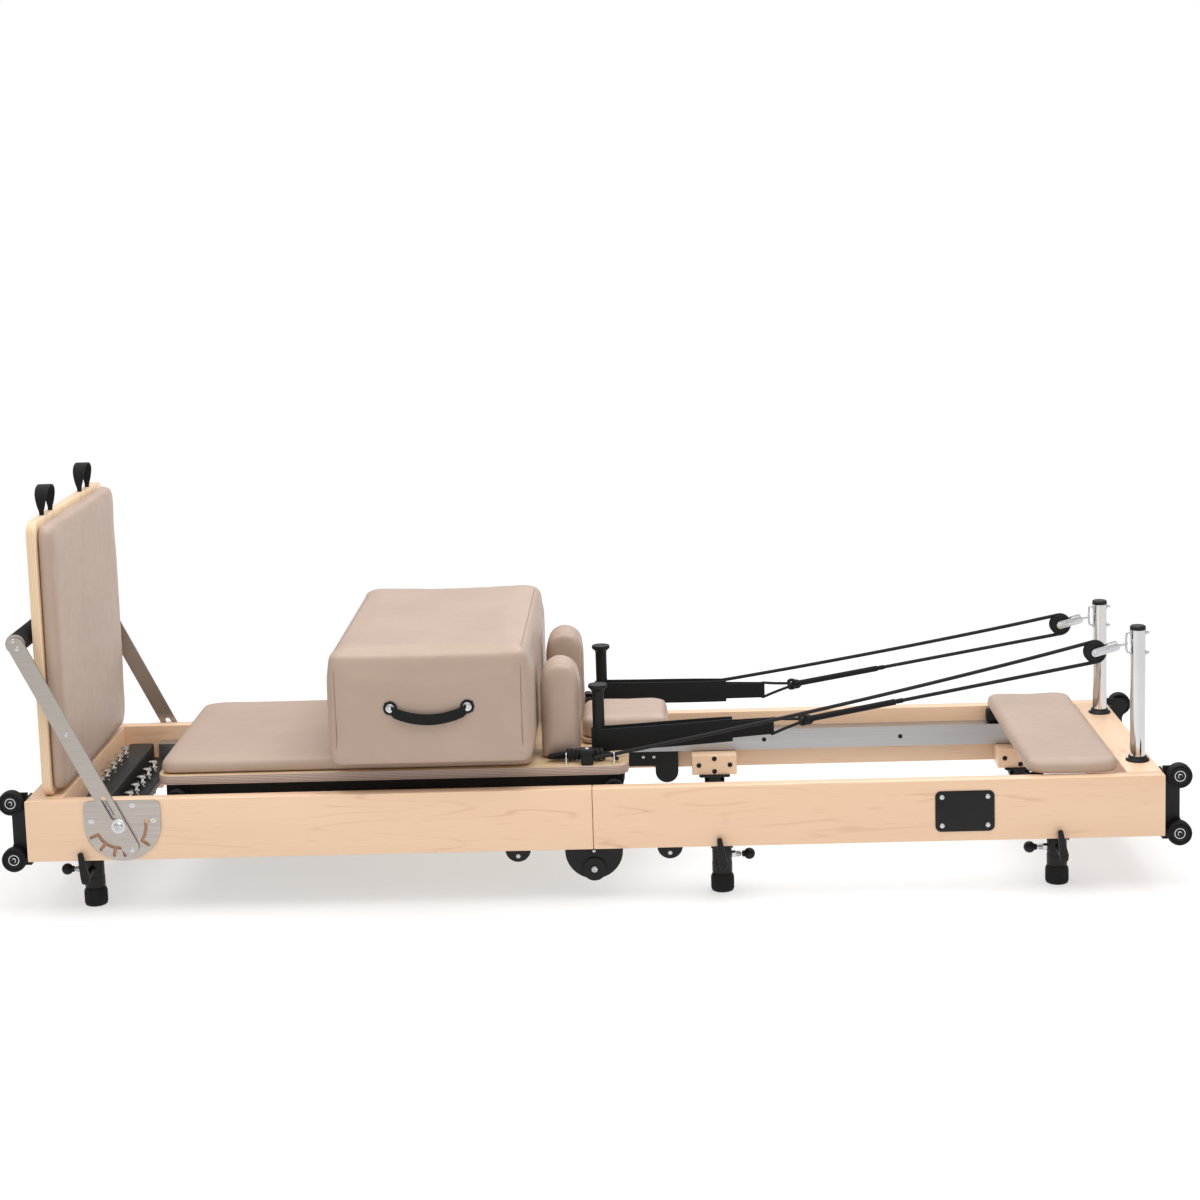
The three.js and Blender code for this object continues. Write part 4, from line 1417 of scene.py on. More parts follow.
@dataclass
class EndWheels:
    """The eight transport wheels and the brackets that hold them."""

    palette: Palette
    x: float = 1.222
    near: float = 0.296
    wide: float = 0.022

    def build(self) -> None:
        """Builds the wheels on both ends."""
        for side in Side:
            for half, sign in (("left", -1), ("right", 1)):
                repaint(f"wheel_bracket_{side.label}_{half}", self.palette.powder)
                for level, z in (("upper", 0.243), ("lower", 0.120)):
                    self.wheel(side, f"end_wheel_{side.label}_{half}_{level}", Vector((sign * self.x, 0, z)))

    def wheel(self, side: Side, node: str, centre: Vector) -> None:
        """One wheel with its tyre, its bearing ring and its bolt.

        Args:
            side: The side of the machine.
            node: The wheel's node.
            centre: A point on its axle, in the middle of the machine.
        """
        start = centre + Vector((0, side.value * self.near, 0))
        w = self.wide
        tyre = Piece(f"tyre_{node}")
        profile = [(0.0045, 0.0015), (0.0195, 0.0015), (0.0215, 0), (0.0238, 0), (0.0256, 0.0020),
                   (0.0260, 0.0050),
                   (0.0260, w - 0.005), (0.0256, w - 0.002), (0.0238, w), (0.0208, w), (0.0202, w - 0.0016),
                   (0.0192, w - 0.0022), (0.0184, w - 0.0010), (0.0128, w - 0.0010), (0.0120, w - 0.0030),
                   (0.0045, w - 0.0030), (0.0045, 0.0015)]
        tyre.turned(profile, start, outward(side), 56)
        tyre.dress(self.palette.rubber, node, "black_rubber", [node])
        ring = Piece(f"bearing_{node}")
        ring.turned([(0.0098, w - 0.0034), (0.0115, w - 0.0034), (0.0115, w - 0.0020), (0.0098, w - 0.0020),
                     (0.0098, w - 0.0034)], start, outward(side), 40)
        ring.screw(start + outward(side) * (w - 0.0028), outward(side), 0.0058, 0.0036, 28)
        ring.dress(self.palette.zinc, node, "chrome")


# ---------------------------------------------------------------- footbar end


@dataclass
class Footbar:
    """The footbar's arms and grip, and the index plates on the rails."""

    palette: Palette
    pivot: Point = (-0.992, 0.194)
    angle: float = 116.2
    arm_face: float = 0.334
    plate_face: float = 0.3283
    reach: float = 0.438

    def along(self, distance: float) -> tuple[float, float]:
        """X and Z at a distance from the pivot along the arm."""
        a = math.radians(self.angle)
        return self.pivot[0] + distance * math.cos(a), self.pivot[1] + distance * math.sin(a)

    def build(self) -> None:
        """Dresses the arms and plates, and adds the grip and the hardware."""
        repaint("footbar_frame", self.palette.arm_steel)
        x, z = self.along(self.reach)
        grip = Piece("footbar_grip")
        grip.rod((x, -0.3283, z), (x, 0.3283, z), 0.0211, 0.003, 56)
        grip.dress(self.palette.foam, "footbar", "black_rubber")
        for side in Side:
            repaint(f"footbar_plate_{side.label}", self.palette.plate_steel)
            self.backing(side)
            self.plate_screws(side)
            self.arm_hardware(side)

    def backing(self, side: Side) -> None:
        """A thin darker maple sheet flush behind a plate, painted shade in its index slots.

        Args:
            side: The side of the machine.
        """
        centre_x, centre_z, radius = self.pivot[0], self.pivot[1], 0.0745
        arc = [(centre_x + radius * math.cos(math.radians(a)), centre_z + radius * math.sin(math.radians(a)))
               for a in range(196, 376, 10)]
        # painted shade: the sheet sits on the rail face, only to darken the slots
        back = Piece(f"plate_backing_{side.label}").prism(arc, side, 0.32502, 0.32522)
        back.dress(self.palette.slot_wood, "frame_left", "maple")

    def plate_screws(self, side: Side) -> None:
        """The three countersunk screws of an index plate.

        Args:
            side: The side of the machine.
        """
        screws = Piece(f"plate_screws_{side.label}")
        for x, z in ((-1.050, 0.205), (-0.920, 0.205), (-0.962, 0.238)):
            screws.screw((x, side.value * self.plate_face, z), outward(side), 0.0062, 0.0005, 24)
        screws.dress(self.palette.zinc, "frame_left", "chrome")

    def arm_hardware(self, side: Side) -> None:
        """The pivot bolt and washer, the spring in the guide slot, and the small screws.

        Args:
            side: The side of the machine.
        """
        face = side.value * self.arm_face
        bolts = Piece(f"footbar_bolts_{side.label}")
        x, z = self.along(0.0)
        washer = [(0, 0), (0.0156, 0), (0.0156, 0.0012), (0.0148, 0.002), (0.0095, 0.002), (0.009, 0.0026),
                  (0, 0.0026)]
        bolts.turned(washer, (x, face, z), outward(side), 40)
        bolts.screw((x, face + side.value * 0.0024, z), outward(side), 0.0086, 0.0036, 28)
        for distance, radius in ((-0.058, 0.0055), (0.222, 0.0042), (0.428, 0.0052), (0.447, 0.0048)):
            x, z = self.along(distance)
            bolts.screw((x, face, z), outward(side), radius, 0.0015, 24)
        bolts.dress(self.palette.zinc, "footbar", "chrome")
        coil = Piece(f"index_spring_{side.label}")
        points = []
        a = math.radians(self.angle)
        lift, across = Vector((math.cos(a), 0, math.sin(a))), Vector((-math.sin(a), 0, math.cos(a)))
        origin = Vector((self.pivot[0], side.value * (self.arm_face - 0.0024), self.pivot[1]))
        for i in range(16 * 11 + 1):
            t = i / (16 * 11)
            b = 2 * math.pi * i / 16
            turn = across * (0.0032 * math.cos(b)) + Vector((0, 0.0026 * math.sin(b), 0))
            points.append(origin + lift * (0.024 + 0.038 * t) + turn)
        coil.tube(points, 0.0007, ring=1)
        coil.dress(self.palette.zinc, "footbar", "chrome", angle=180.0)


@dataclass
class Jumpboard:
    """The jumpboard's plywood panel and its two carrying loops."""

    palette: Palette
    loop_y: float = 0.165

    def build(self) -> None:
        """Builds the panel and the loops."""
        low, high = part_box("jumpboard_panel")
        panel = Piece("jumpboard_board").slab(low, (high.x, high.y, 0.836), 0.0014, corner=0.028,
                                              thick=Axis.X)
        panel.dress(self.palette.ply_board, "jumpboard", "plywood", ["jumpboard_panel"])
        for side in Side:
            self.loop(side, (low.x + high.x) / 2, 0.836)

    def loop(self, side: Side, x: float, top: float) -> None:
        """A loop of webbing that stands on the panel's top edge, widest at its crown.

        Args:
            side: The side of the machine.
            x: The middle of the panel's thickness.
            top: The panel's top edge.
        """
        y = side.value * self.loop_y
        shape = [(0.0360, -0.008, 0.010), (0.0370, 0.006, 0.010), (0.0385, 0.022, 0.018),
                 (0.0360, 0.042, 0.025),
                 (0.0230, 0.0560, 0.027), (0.0, 0.0610, 0.027)]
        rows = [(-u, v, wide) for u, v, wide in shape] + [(u, v, wide) for u, v, wide in reversed(shape[:-1])]
        part = bmesh.new()
        edges = []
        before: tuple | None = None
        for u, v, wide in smooth_path(rows, 4):
            pair = tuple(part.verts.new((x + s * wide / 2, y + u, top + v)) for s in (-1, 1))
            if before:
                edges.append(part.edges.new((before[0], pair[0])))
                edges.append(part.edges.new((before[1], pair[1])))
            before = pair
        bmesh.ops.bridge_loops(part, edges=edges)
        bmesh.ops.recalc_face_normals(part, faces=part.faces)
        bmesh.ops.solidify(part, geom=part.faces[:], thickness=0.0024)
        piece = Piece(f"carrying_loop_{side.label}").absorb(part)
        piece.dress(self.palette.webbing, "jumpboard", "webbing")


@dataclass
class PulleyPosts:
    """The two chrome posts with their pulleys and the bolts that hold them."""

    palette: Palette
    x: float = 1.157
    y: float = POST_Y
    radius: float = 0.016
    sheave_x: float = SHEAVE_X
    tilt: float = 15.0

    def build(self) -> None:
        """Builds both posts."""
        for side, top in ((Side.FRONT, 0.542), (Side.BACK, 0.513)):
            self.post(side, top)
            self.sheave(side, side.sheave_z)
            self.block(side, side.sheave_z)
            self.bolts(side, side.sheave_z)

    def post(self, side: Side, top: float) -> None:
        """The tube, its cap and its base collar.

        Args:
            side: The side of the machine.
            top: The post's height.
        """
        y, floor = side.value * self.y, 0.2493
        tube = Piece(f"chrome_post_{side.label}").rod((self.x, y, floor), (self.x, y, top - 0.006),
                                                      self.radius, 0.0006, 64)
        tube.dress(self.palette.chrome, "frame_right", "chrome", [f"post_{side.label}"])
        trim = Piece(f"post_trim_{side.label}")
        cap = [(0, -0.004), (0.0164, -0.004), (0.0166, 0.0022), (0.0145, 0.0048), (0.008, 0.0062),
               (0, 0.0066)]
        trim.turned(cap, (self.x, y, top - 0.006), UP, 48)
        collar = [(0.0161, 0), (0.0245, 0), (0.0250, 0.0014), (0.0240, 0.0036), (0.0200, 0.0066),
                  (0.0190, 0.0100),
                  (0.0161, 0.0105), (0.0161, 0)]
        trim.turned(collar, (self.x, y, floor), UP, 56)
        trim.dress(self.palette.plastic, "frame_right", "black_steel")
        screws = Piece(f"collar_screws_{side.label}")
        for s in (-1, 1):
            screws.screw((self.x + s * 0.0205, y, floor + 0.0058), UP, 0.0030, 0.0014, 16)
        screws.dress(self.palette.zinc, "frame_right", "chrome")

    def sheave(self, side: Side, z: float) -> None:
        """The grooved wheel.

        Args:
            side: The side of the machine.
            z: The sheave's height.
        """
        start = Vector((self.sheave_x, side.value * self.y - 0.009, z))
        wheel = Piece(f"grooved_sheave_{side.label}")
        profile = [(0.0052, 0), (0.0090, 0), (0.0092, 0.0012), (0.0190, 0.0012), (0.0196, 0), (0.0225, 0),
                   (0.0230, 0.0008), (0.0228, 0.0022), (0.0196, 0.0052), (0.0178, 0.0072), (0.0175, 0.0090)]
        mirrored = [(r, 0.018 - h) for r, h in reversed(profile[:-1])]
        wheel.turned([*profile, *mirrored, profile[0]], start, Vector((0, 1, 0)), 56)
        wheel.dress(self.palette.plastic, f"sheave_{side.label}", "black_rubber", [f"sheave_{side.label}"])

    def block(self, side: Side, z: float) -> None:
        """The two cheeks, the bow and the shank around the sheave.

        Args:
            side: The side of the machine.
            z: The sheave's height.
        """
        turn = Matrix.Translation((self.sheave_x, side.value * self.y, z)) @ Matrix.Rotation(
            math.radians(-self.tilt), 4, "Y")
        block = Piece(f"pulley_cheeks_{side.label}")
        for s in (-1, 1):
            low, high = sorted((s * 0.010, s * 0.0125))
            block.slab((-0.0085, low, -0.0085), (0.0530, high, 0.0085), 0.0006, corner=0.0082, thick=Axis.Y,
                       place=turn)
            block.slab((-0.0085, s * 0.0126 - 0.0004, -0.0042), (0.0300, s * 0.0126 + 0.0010, 0.0042), 0.0005,
                       corner=0.0040, thick=Axis.Y, place=turn)
        block.slab((0.0290, -0.0122, -0.0070), (0.0490, 0.0122, 0.0070), 0.0018, place=turn)
        for start, end in (((0.046, 0, 0), (0.0655, 0, 0)), ((0, -0.0152, 0), (0, 0.0152, 0))):
            block.rod(turn @ Vector(start), turn @ Vector(end), 0.0046, 0.0008, 28)
        block.dress(self.palette.zinc, f"pulley_block_{side.label}", "chrome", [f"pulley_block_{side.label}"])

    def bolts(self, side: Side, z: float) -> None:
        """The bow between two bolts through the post, its ring, and the nuts behind.

        Args:
            side: The side of the machine.
            z: The sheave's height.
        """
        y = side.value * self.y
        high, low, eye = z + 0.040, z - 0.003, z + 0.017
        bow = Piece(f"post_bolts_{side.label}")
        points = [(self.x, y, high), (self.x - 0.019, y, high), (self.x - 0.0235, y, high - 0.004),
                  (self.x - 0.0245, y, eye), (self.x - 0.0235, y, low + 0.004), (self.x - 0.019, y, low),
                  (self.x, y, low)]
        bow.tube(smooth_path(points, 5), 0.0022)
        ring = [(self.x - 0.027 + 0.0048 * math.cos(a), y + 0.0048 * math.sin(a), eye)
                for a in (math.pi * i / 12 for i in range(24))]
        bow.tube(ring, 0.0013, closed=True)
        for height in (high, low):
            bow.turned([(0, 0), (0.0062, 0), (0.0062, 0.0032), (0.0040, 0.0046), (0.0040, 0.0088),
                        (0, 0.0096)],
                       (self.x + self.radius - 0.001, y, height), Vector((1, 0, 0)), 24)
            bow.turned([(0, 0), (0.0056, 0), (0.0056, 0.0022), (0, 0.0028)],
                       (self.x - self.radius + 0.001, y, height),
                       Vector((-1, 0, 0)), 24)
        bow.dress(self.palette.zinc, "frame_right", "chrome")


# ---------------------------------------------------------------- carriage


@dataclass
class Carriage:
    """The carriage's plywood deck, its underframe, springs, pegs, cleats and staples."""

    palette: Palette
    top: float = DECK_TOP
    peg_at: Point = PEG
    cleat_x: float = -0.010
    cleat_y: float = 0.250

    def build(self) -> None:
        """Builds the deck and what stands on and hangs under it."""
        low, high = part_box("carriage_deck")
        deck = Piece("carriage_board").slab(low, high, 0.0012, corner=0.028)
        deck.dress(self.palette.ply_deck, "carriage", "plywood", ["carriage_deck"])
        repaint("carriage_chassis", self.palette.powder)
        self.springs()
        self.rollers()
        for side in Side:
            self.peg(side)
            self.cleat(side)
            self.hank(side)
            self.staples(side)

    def springs(self) -> None:
        """Five close-wound springs, parked under the deck."""
        for i in range(-2, 3):
            coil = Piece(f"parked_spring_{i + 3}")
            turns, per_turn = 66, 14
            points = []
            for k in range(turns * per_turn + 1):
                a = 2 * math.pi * k / per_turn
                x = -0.888 + 0.322 * k / (turns * per_turn)
                points.append((x, i * 0.0625 + 0.0096 * math.cos(a), 0.247 + 0.0096 * math.sin(a)))
            coil.tube(points, 0.0016, ring=0)
            coil.dress(self.palette.zinc, "carriage", "chrome", angle=180.0)

    def rollers(self) -> None:
        """Tyres over the carriage's four rollers."""
        for side in Side:
            tyres = Piece(f"carriage_rollers_{side.label}")
            for x in (-0.880, 0.045):
                w = 0.0184
                profile = [(0.006, -0.0006), (0.0185, -0.0006), (0.0199, 0.001), (0.0199, w - 0.0006),
                           (0.0185, w + 0.0008),
                           (0.012, w + 0.0008), (0.011, w + 0.0002), (0.006, w + 0.0002), (0.006, -0.0006)]
                tyres.turned(profile, (x, side.value * 0.264, 0.234), outward(side), 40)
            tyres.dress(self.palette.rubber, "carriage", "black_rubber")

    def peg(self, side: Side) -> None:
        """The tall black peg that a strap hangs on.

        Args:
            side: The side of the machine.
        """
        profile = [(0, 0.2812), (0.0165, 0.2812), (0.0165, 0.2835), (0.0136, 0.2850), (0.0128, 0.2870),
                   (0.0128, 0.4200),
                   (0.0136, 0.4260), (0.0160, 0.4305), (0.0203, 0.4325), (0.0206, 0.4360), (0.0198, 0.4392),
                   (0.0150, 0.4404), (0.0120, 0.4394), (0, 0.4392)]
        peg = Piece(f"strap_peg_{side.label}")
        peg.turned(profile, (self.peg_at[0], side.value * self.peg_at[1], 0), UP, 48)
        peg.dress(self.palette.plastic, "carriage", "black_steel")

    def cleat(self, side: Side) -> None:
        """The rope cleat: a round-edged black block with a bright screw in its top.

        Args:
            side: The side of the machine.
        """
        x, y = self.cleat_x, side.value * self.cleat_y
        cleat = Piece(f"rope_cleat_{side.label}")
        cleat.slab((x - 0.013, y - 0.013, self.top + 0.0002), (x + 0.013, y + 0.013, self.top + 0.030), 0.002,
                   corner=0.006)
        cleat.slab((x - 0.0165, y - 0.0145, self.top + 0.025), (x + 0.0165, y + 0.0145, self.top + 0.034),
                   0.002,
                   corner=0.006)
        cleat.dress(self.palette.plastic, "carriage", "black_steel")
        screw = Piece(f"cleat_screw_{side.label}")
        screw.screw((x, y, self.top + 0.0338), UP, 0.0052, 0.0022, 24)
        screw.dress(self.palette.zinc, "carriage", "chrome")

    def hank(self, side: Side) -> None:
        """The rope's spare length, wound into a short hank against the cleat.

        Args:
            side: The side of the machine.
        """
        y = side.value * (self.cleat_y - 0.024)
        z = self.top + 0.0155
        hank = Piece(f"rope_hank_{side.label}")
        turns, per_turn = 9, 14
        wound = []
        for k in range(turns * per_turn + 1):
            a = 2 * math.pi * k / per_turn
            wound.append((-0.052 + 0.078 * k / (turns * per_turn), y + 0.0088 * math.cos(a),
                          z + 0.0092 * math.sin(a)))
        hank.tube(wound, 0.0042, ring=2)
        for offset, drop, reach in ((-0.004, 0.0, 0.030), (0.005, 0.003, 0.022)):
            loop = [(-0.046, y + offset, z + 0.004), (-0.062, y + offset - 0.006, z + 0.006 - drop),
                    (-0.056 - reach, y + offset - 0.004, z + 0.001 - drop),
                    (-0.060 - reach, y + offset + 0.004, z - 0.006),
                    (-0.062, y + offset + 0.008, z - 0.007 + drop), (-0.046, y + offset + 0.004, z - 0.004)]
            hank.tube(smooth_path(loop, 6), 0.004, ring=2)
        tail = [(0.026, y, z), (0.036, y + side.value * 0.004, z + 0.002),
                (0.046, y + side.value * 0.010, z - 0.004),
                (0.056, y + side.value * 0.012, z - 0.010)]
        hank.tube(smooth_path(tail, 6), 0.004, ring=2)
        hank.dress(self.palette.short_braid, "carriage", "webbing", angle=180.0)

    def staples(self, side: Side) -> None:
        """The two bright staples that the rope runs through."""
        for tag, x in (("left", -0.054), ("right", 0.047)):
            y = side.value * 0.250
            z = self.top
            points = [(x, y - 0.008, z - 0.002), (x, y - 0.008, z + 0.017), (x, y - 0.0055, z + 0.0235),
                      (x, y, z + 0.0255),
                      (x, y + 0.0055, z + 0.0235), (x, y + 0.008, z + 0.017), (x, y + 0.008, z - 0.002)]
            staple = Piece(f"rope_staple_{side.label}_{tag}").tube(smooth_path(points, 6), 0.0017)
            staple.dress(self.palette.chrome, "carriage", "chrome", angle=180.0)


# ---------------------------------------------------------------- upholstery


@dataclass
class Cushion:
    """A padded form: a soft block in its frame node's box, blown up a little and covered in leather."""

    palette: Palette
    name: str
    node: str
    body: str
    thick: Axis
    corner: float
    edge: float
    swell: float
    voxel: float = 0.011
    fill: float = 0.9
    flat_back: bool = True
    low: Vector | None = None
    high: Vector | None = None
    made: bpy.types.Object | None = None

    def limits(self) -> tuple[Vector, Vector]:
        """The box that the finished cushion fills."""
        low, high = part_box(self.node)
        return self.low or low, self.high or high

    def start(self) -> None:
        """Makes the starting form, remeshed evenly and a little smaller than its box."""
        low, high = self.limits()
        inset = Vector((self.swell, self.swell, self.swell)) * 0.5
        piece = Piece(self.name)
        inner_low, inner_high = low + inset, high - inset
        if self.thick is Axis.Z:
            inner_low.z = low.z
        if self.thick is Axis.X:
            inner_low.x = low.x
        self.form(piece, inner_low, inner_high)
        self.made = piece.dress(self.palette.leather, self.body, "leather", [self.node], angle=180.0)
        self.remesh()

    def form(self, piece: Piece, low: Vector, high: Vector) -> None:
        """Shapes the block.

        Args:
            piece: The piece to add to.
            low: Its lowest corner.
            high: Its highest corner.
        """
        piece.slab(low, high, self.edge, self.corner, self.thick, segments=5, top_only=self.flat_back)

    def remesh(self) -> None:
        """Replaces the form's mesh with an even one."""
        cover = self.made.modifiers.new("even", "REMESH")
        cover.mode = "VOXEL"
        cover.voxel_size = self.voxel * 1.0
        self.settle()

    def settle(self) -> None:
        """Applies the modifiers to the mesh."""
        depsgraph = bpy.context.evaluated_depsgraph_get()
        mesh = bpy.data.meshes.new_from_object(self.made.evaluated_get(depsgraph))
        self.made.modifiers.clear()
        self.made.data = mesh
        if not mesh.materials:
            mesh.materials.append(self.palette.leather)
        mesh.shade_smooth()

    def held(self, point: Vector) -> bool:
        """Whether a point of the cushion rests on its board and stays where it is."""
        low, _ = self.limits()
        return point[self.thick.value] < low[self.thick.value] + 0.0035

    def blow(self) -> None:
        """Sets up the cloth that swells the cushion."""
        group = self.made.vertex_groups.new(name="held")
        group.add([v.index for v in self.made.data.vertices if self.held(v.co)], 1.0, "ADD")
        cloth = self.made.modifiers.new("swell", "CLOTH")
        cloth.settings.quality = 2
        cloth.settings.mass = 0.4
        cloth.settings.tension_stiffness = 18.0
        cloth.settings.compression_stiffness = 18.0
        cloth.settings.shear_stiffness = 8.0
        cloth.settings.bending_stiffness = 1.5
        cloth.settings.use_pressure = True
        cloth.settings.uniform_pressure_force = 4.0
        cloth.settings.vertex_group_mass = "held"
        cloth.settings.effector_weights.gravity = 0.0
        cloth.collision_settings.use_collision = False
        cloth.point_cache.frame_start = 1
        cloth.point_cache.frame_end = SWELL_FRAMES

    def cap(self) -> None:
        """Takes the swollen shape, with no point moved further than the swell, and inside the box."""
        low, high = self.limits()
        rest = [v.co.copy() for v in self.made.data.vertices]
        self.settle()
        for vertex, before in zip(self.made.data.vertices, rest):
            move = vertex.co - before
            if move.length > self.swell:
                move *= self.swell / move.length
            vertex.co = before + move
            for i in range(3):
                vertex.co[i] = min(max(vertex.co[i], low[i]), high[i])
        self.made.vertex_groups.clear()

    def finish(self) -> None:
        bm = bmesh.new()
        bm.from_mesh(self.made.data)
        for _ in range(2):
            bmesh.ops.smooth_vert(bm, verts=bm.verts, factor=0.5, use_axis_x=True, use_axis_y=True,
                                  use_axis_z=True)
        bm.to_mesh(self.made.data)
        bm.free()
        self.made.data.shade_smooth()
        finer = self.made.modifiers.new("finer", "SUBSURF")
        finer.levels = 1
        finer.render_levels = 1

    def seam(self, name: str, points: Sequence[Point], radius: float = 0.0011) -> None:
        """Lays a sewn seam on the cushion's surface.

        Args:
            name: The seam's name.
            points: A closed loop near the surface.
            radius: The seam's radius.
        """
        depsgraph = bpy.context.evaluated_depsgraph_get()
        bvh = BVHTree.FromObject(self.made, depsgraph)
        path = [bvh.find_nearest(Vector(p))[0] for p in points]
        for _ in range(2):
            path = [(path[i - 1] + path[i] * 2 + path[(i + 1) % len(path)]) / 4 for i in range(len(path))]
        seam = Piece(name).tube(path, radius, ring=1, closed=True)
        seam.dress(self.palette.seam, self.body, "leather", angle=180.0)


@dataclass
class ShoulderRest(Cushion):
    """A shoulder rest: an upright block with a round top."""

    def outline(self, low: Vector, high: Vector, steps: int = 12) -> list[tuple[float, float]]:
        """The rest's side view, as X and Z pairs.

        Args:
            low: The rest's lowest corner.
            high: The rest's highest corner.
            steps: Steps in the round top.

        Returns:
            The points, in order.
        """
        r, x = (high.x - low.x) / 2, (low.x + high.x) / 2
        arc = [(x + r * math.cos(math.pi * i / steps), high.z - r + r * math.sin(math.pi * i / steps))
               for i in range(steps + 1)]
        return [(low.x, low.z), (high.x, low.z), *arc]

    def form(self, piece: Piece, low: Vector, high: Vector) -> None:
        """Shapes the block from its side view.

        Args:
            piece: The piece.
            low: Its lowest corner.
            high: Its highest corner.
        """
        side = Side.BACK if high.y > 0 else Side.FRONT
        near, far = sorted((abs(low.y), abs(high.y)))
        piece.prism(self.outline(low, high), side, near, far, self.edge)


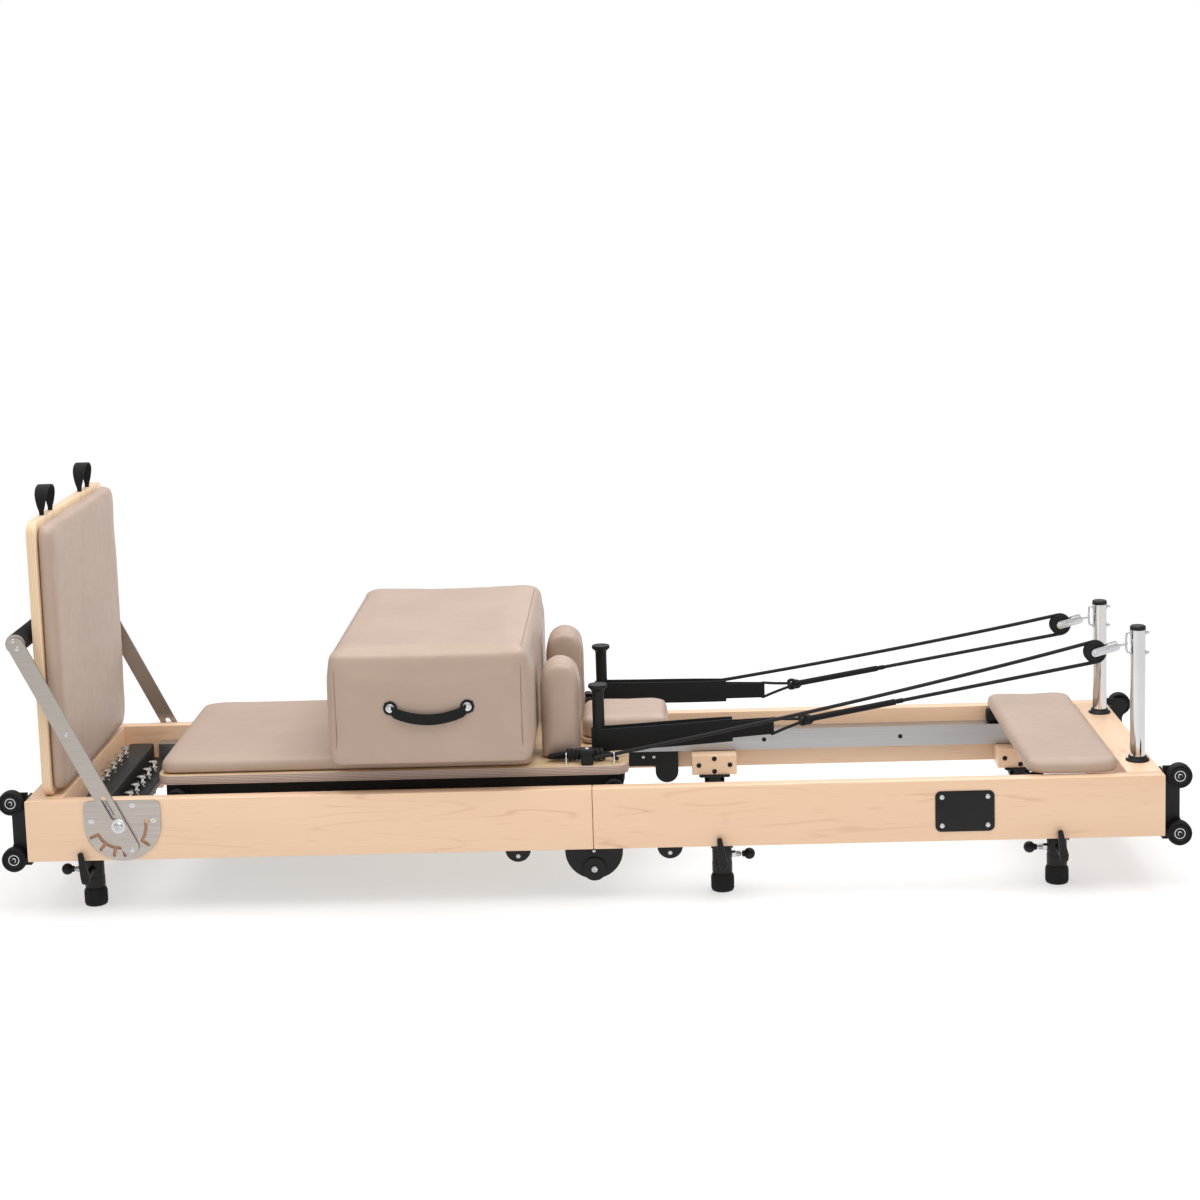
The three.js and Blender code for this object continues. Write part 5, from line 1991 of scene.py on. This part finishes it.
@dataclass
class Upholstery:
    """All the cushions, simulated together, with the seams and the box's handles."""

    palette: Palette

    def build(self) -> None:
        """Builds every cushion."""
        p = self.palette
        pads = [
            Cushion(p, "carriage_cushion", "carriage_pad", "carriage", Axis.Z, 0.030, 0.009, 0.0032,
                    low=Vector((-0.9215, -0.265, 0.2813)), high=Vector((-0.1195, 0.265, 0.3165))),
            Cushion(p, "platform_cushion", "platform_pad", "frame_right", Axis.Z, 0.036, 0.010, 0.0030,
                    voxel=0.008),
            Cushion(p, "jumpboard_cushion", "jumpboard_pad", "jumpboard", Axis.X, 0.034, 0.012, 0.0040),
            Cushion(p, "headrest_cushion", "headrest", "headrest", Axis.Z, 0.028, 0.011, 0.0032, voxel=0.0075,
                    low=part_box("headrest")[0] + Vector((0, 0, 0.009))),
            Cushion(p, "sitting_box_cushion", "sitting_box", "sitting_box", Axis.Z, 0.022, 0.018, 0.0060,
                    flat_back=False),
        ]
        for side in Side:
            tag = side.label
            pads.append(ShoulderRest(p, f"shoulder_cushion_{tag}", f"shoulder_rest_{tag}", "carriage", Axis.Z,
                                     0.0, 0.012,
                                     0.0042, voxel=0.0075))
        for pad in pads:
            pad.start()
        self.simulate(pads)
        for pad in pads:
            pad.finish()
        self.seams(pads)
        self.headrest_board()
        self.handles()

    def simulate(self, pads: Sequence[Cushion]) -> None:
        """Swells all the cushions in one run.

        Args:
            pads: The cushions.
        """
        for pad in pads:
            pad.blow()
        for number in range(1, SWELL_FRAMES + 1):
            bpy.context.scene.frame_set(number)
        for pad in pads:
            pad.cap()
        bpy.context.scene.frame_set(1)

    def seams(self, pads: Sequence[Cushion]) -> None:
        """The seams round the box's long ends and the shoulder rests' faces.

        Args:
            pads: The cushions.
        """
        box = next(pad for pad in pads if pad.node == "sitting_box")
        low, high = box.limits()
        for tag, x in (("left", low.x + 0.017), ("right", high.x - 0.017)):
            loop = self.rectangle(Axis.X, x, (low.y, low.z), (high.y, high.z), 0.02)
            box.seam(f"box_seam_{tag}", loop)
        for pad in pads:
            if not isinstance(pad, ShoulderRest):
                continue
            low, high = pad.limits()
            for tag, y in (("inner", low.y + 0.016), ("outer", high.y - 0.016)):
                points = pad.outline(low, high, 24)
                dense = []
                for a, b in zip(points, [*points[1:], points[0]]):
                    count = max(1, round(math.dist(a, b) / 0.008))
                    dense += [(a[0] + (b[0] - a[0]) * i / count, y, a[1] + (b[1] - a[1]) * i / count)
                              for i in range(count)]
                pad.seam(f"{pad.name}_seam_{tag}", dense, 0.0009)

    def rectangle(self, axis: Axis, level: float, low: tuple[float, float], high: tuple[float, float],
                  step: float) -> list[Point]:
        """A loop of points round a rectangle across one axis.

        Args:
            axis: The axis that the loop goes round.
            level: Its place on that axis.
            low: Its lowest corner on the other two axes.
            high: Its highest corner on the other two axes.
            step: Distance between points.

        Returns:
            The points in order.
        """
        corners = [low, (high[0], low[1]), high, (low[0], high[1])]
        points = []
        for a, b in zip(corners, [*corners[1:], corners[0]]):
            count = max(2, round(math.dist(a, b) / step))
            for i in range(count):
                flat = [a[k] + (b[k] - a[k]) * i / count for k in range(2)]
                flat.insert(axis.value, level)
                points.append(tuple(flat))
        return points

    def headrest_board(self) -> None:
        """The thin board under the headrest's cushion."""
        low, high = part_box("headrest")
        board = Piece("headrest_board")
        board.slab((low.x, low.y + 0.004, low.z), (high.x - 0.004, high.y - 0.004, low.z + 0.0088), 0.001,
                   corner=0.024)
        board.dress(self.palette.ply_deck, "headrest", "plywood")

    def handles(self) -> None:
        """The webbing handles on the box's near end and on its footbar side."""
        low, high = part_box("sitting_box")
        self.handle("near", Vector((-0.3295, low.y - 0.0012, 0.440)), Vector((1, 0, 0)), Vector((0, -1, 0)))
        middle = (low.y + high.y) / 2 - 0.02
        self.handle("side", Vector((low.x - 0.0012, middle, 0.440)), Vector((0, 1, 0)), Vector((-1, 0, 0)))

    def handle(self, tag: str, centre: Vector, along: Vector, out: Vector) -> None:
        """One sagging handle with a rivet at each end.

        Args:
            tag: The handle's name.
            centre: The middle of the line between its rivets.
            along: The direction between its rivets.
            out: The direction away from the box.
        """
        lower = []
        for i in range(-14, 15):
            t = i / 14
            flat = min(1.0, max(0.0, (abs(t) - 0.80) / 0.12))
            sag = -0.024 * (1 - t * t) * (1 - flat)
            lift = 0.0105 * (1 - flat) * (1 - t * t) ** 0.5
            lower.append(centre + along * (0.0915 * t) + Vector((0, 0, sag - 0.0115)) + out * lift)
        strap = Piece(f"box_handle_{tag}").strip(lower, 0.023, 0.0030, 0.0008)
        for s in (-1, 1):
            tab = [(0, 0.0008), (0.0135, 0.0008), (0.0145, 0.0016), (0.0145, 0.0026), (0.0135, 0.0034),
                   (0, 0.0034)]
            strap.turned(tab, centre + along * (0.0795 * s) - out * 0.0012, out, 32)
        strap.dress(self.palette.webbing, "sitting_box", "webbing")
        rivets = Piece(f"box_rivets_{tag}")
        for s in (-1, 1):
            at = centre + along * (0.0795 * s) + out * 0.0020
            rivets.turned([(0, 0), (0.0092, 0), (0.0092, 0.0010), (0.0078, 0.0020), (0.0050, 0.0024),
                           (0.0042, 0.0012),
                           (0, 0.0012)], at, out, 32)
        rivets.dress(self.palette.zinc, "sitting_box", "chrome")


def main() -> None:
    """Builds the machine's looks in order."""
    logging.basicConfig(level=logging.INFO, format="%(name)s: %(message)s")
    palette = Palette()
    Studio().build()
    for assembly in (PulleyRopes, WoodenFrame, AnchorBar, FoldHinge, AdjustableLegs, EndWheels, Footbar,
                     Jumpboard,
                     PulleyPosts, Carriage, Upholstery):
        LOG.info("assembly %s", assembly.__name__)
        assembly(palette).build()


if __name__ == "__main__":
    main()
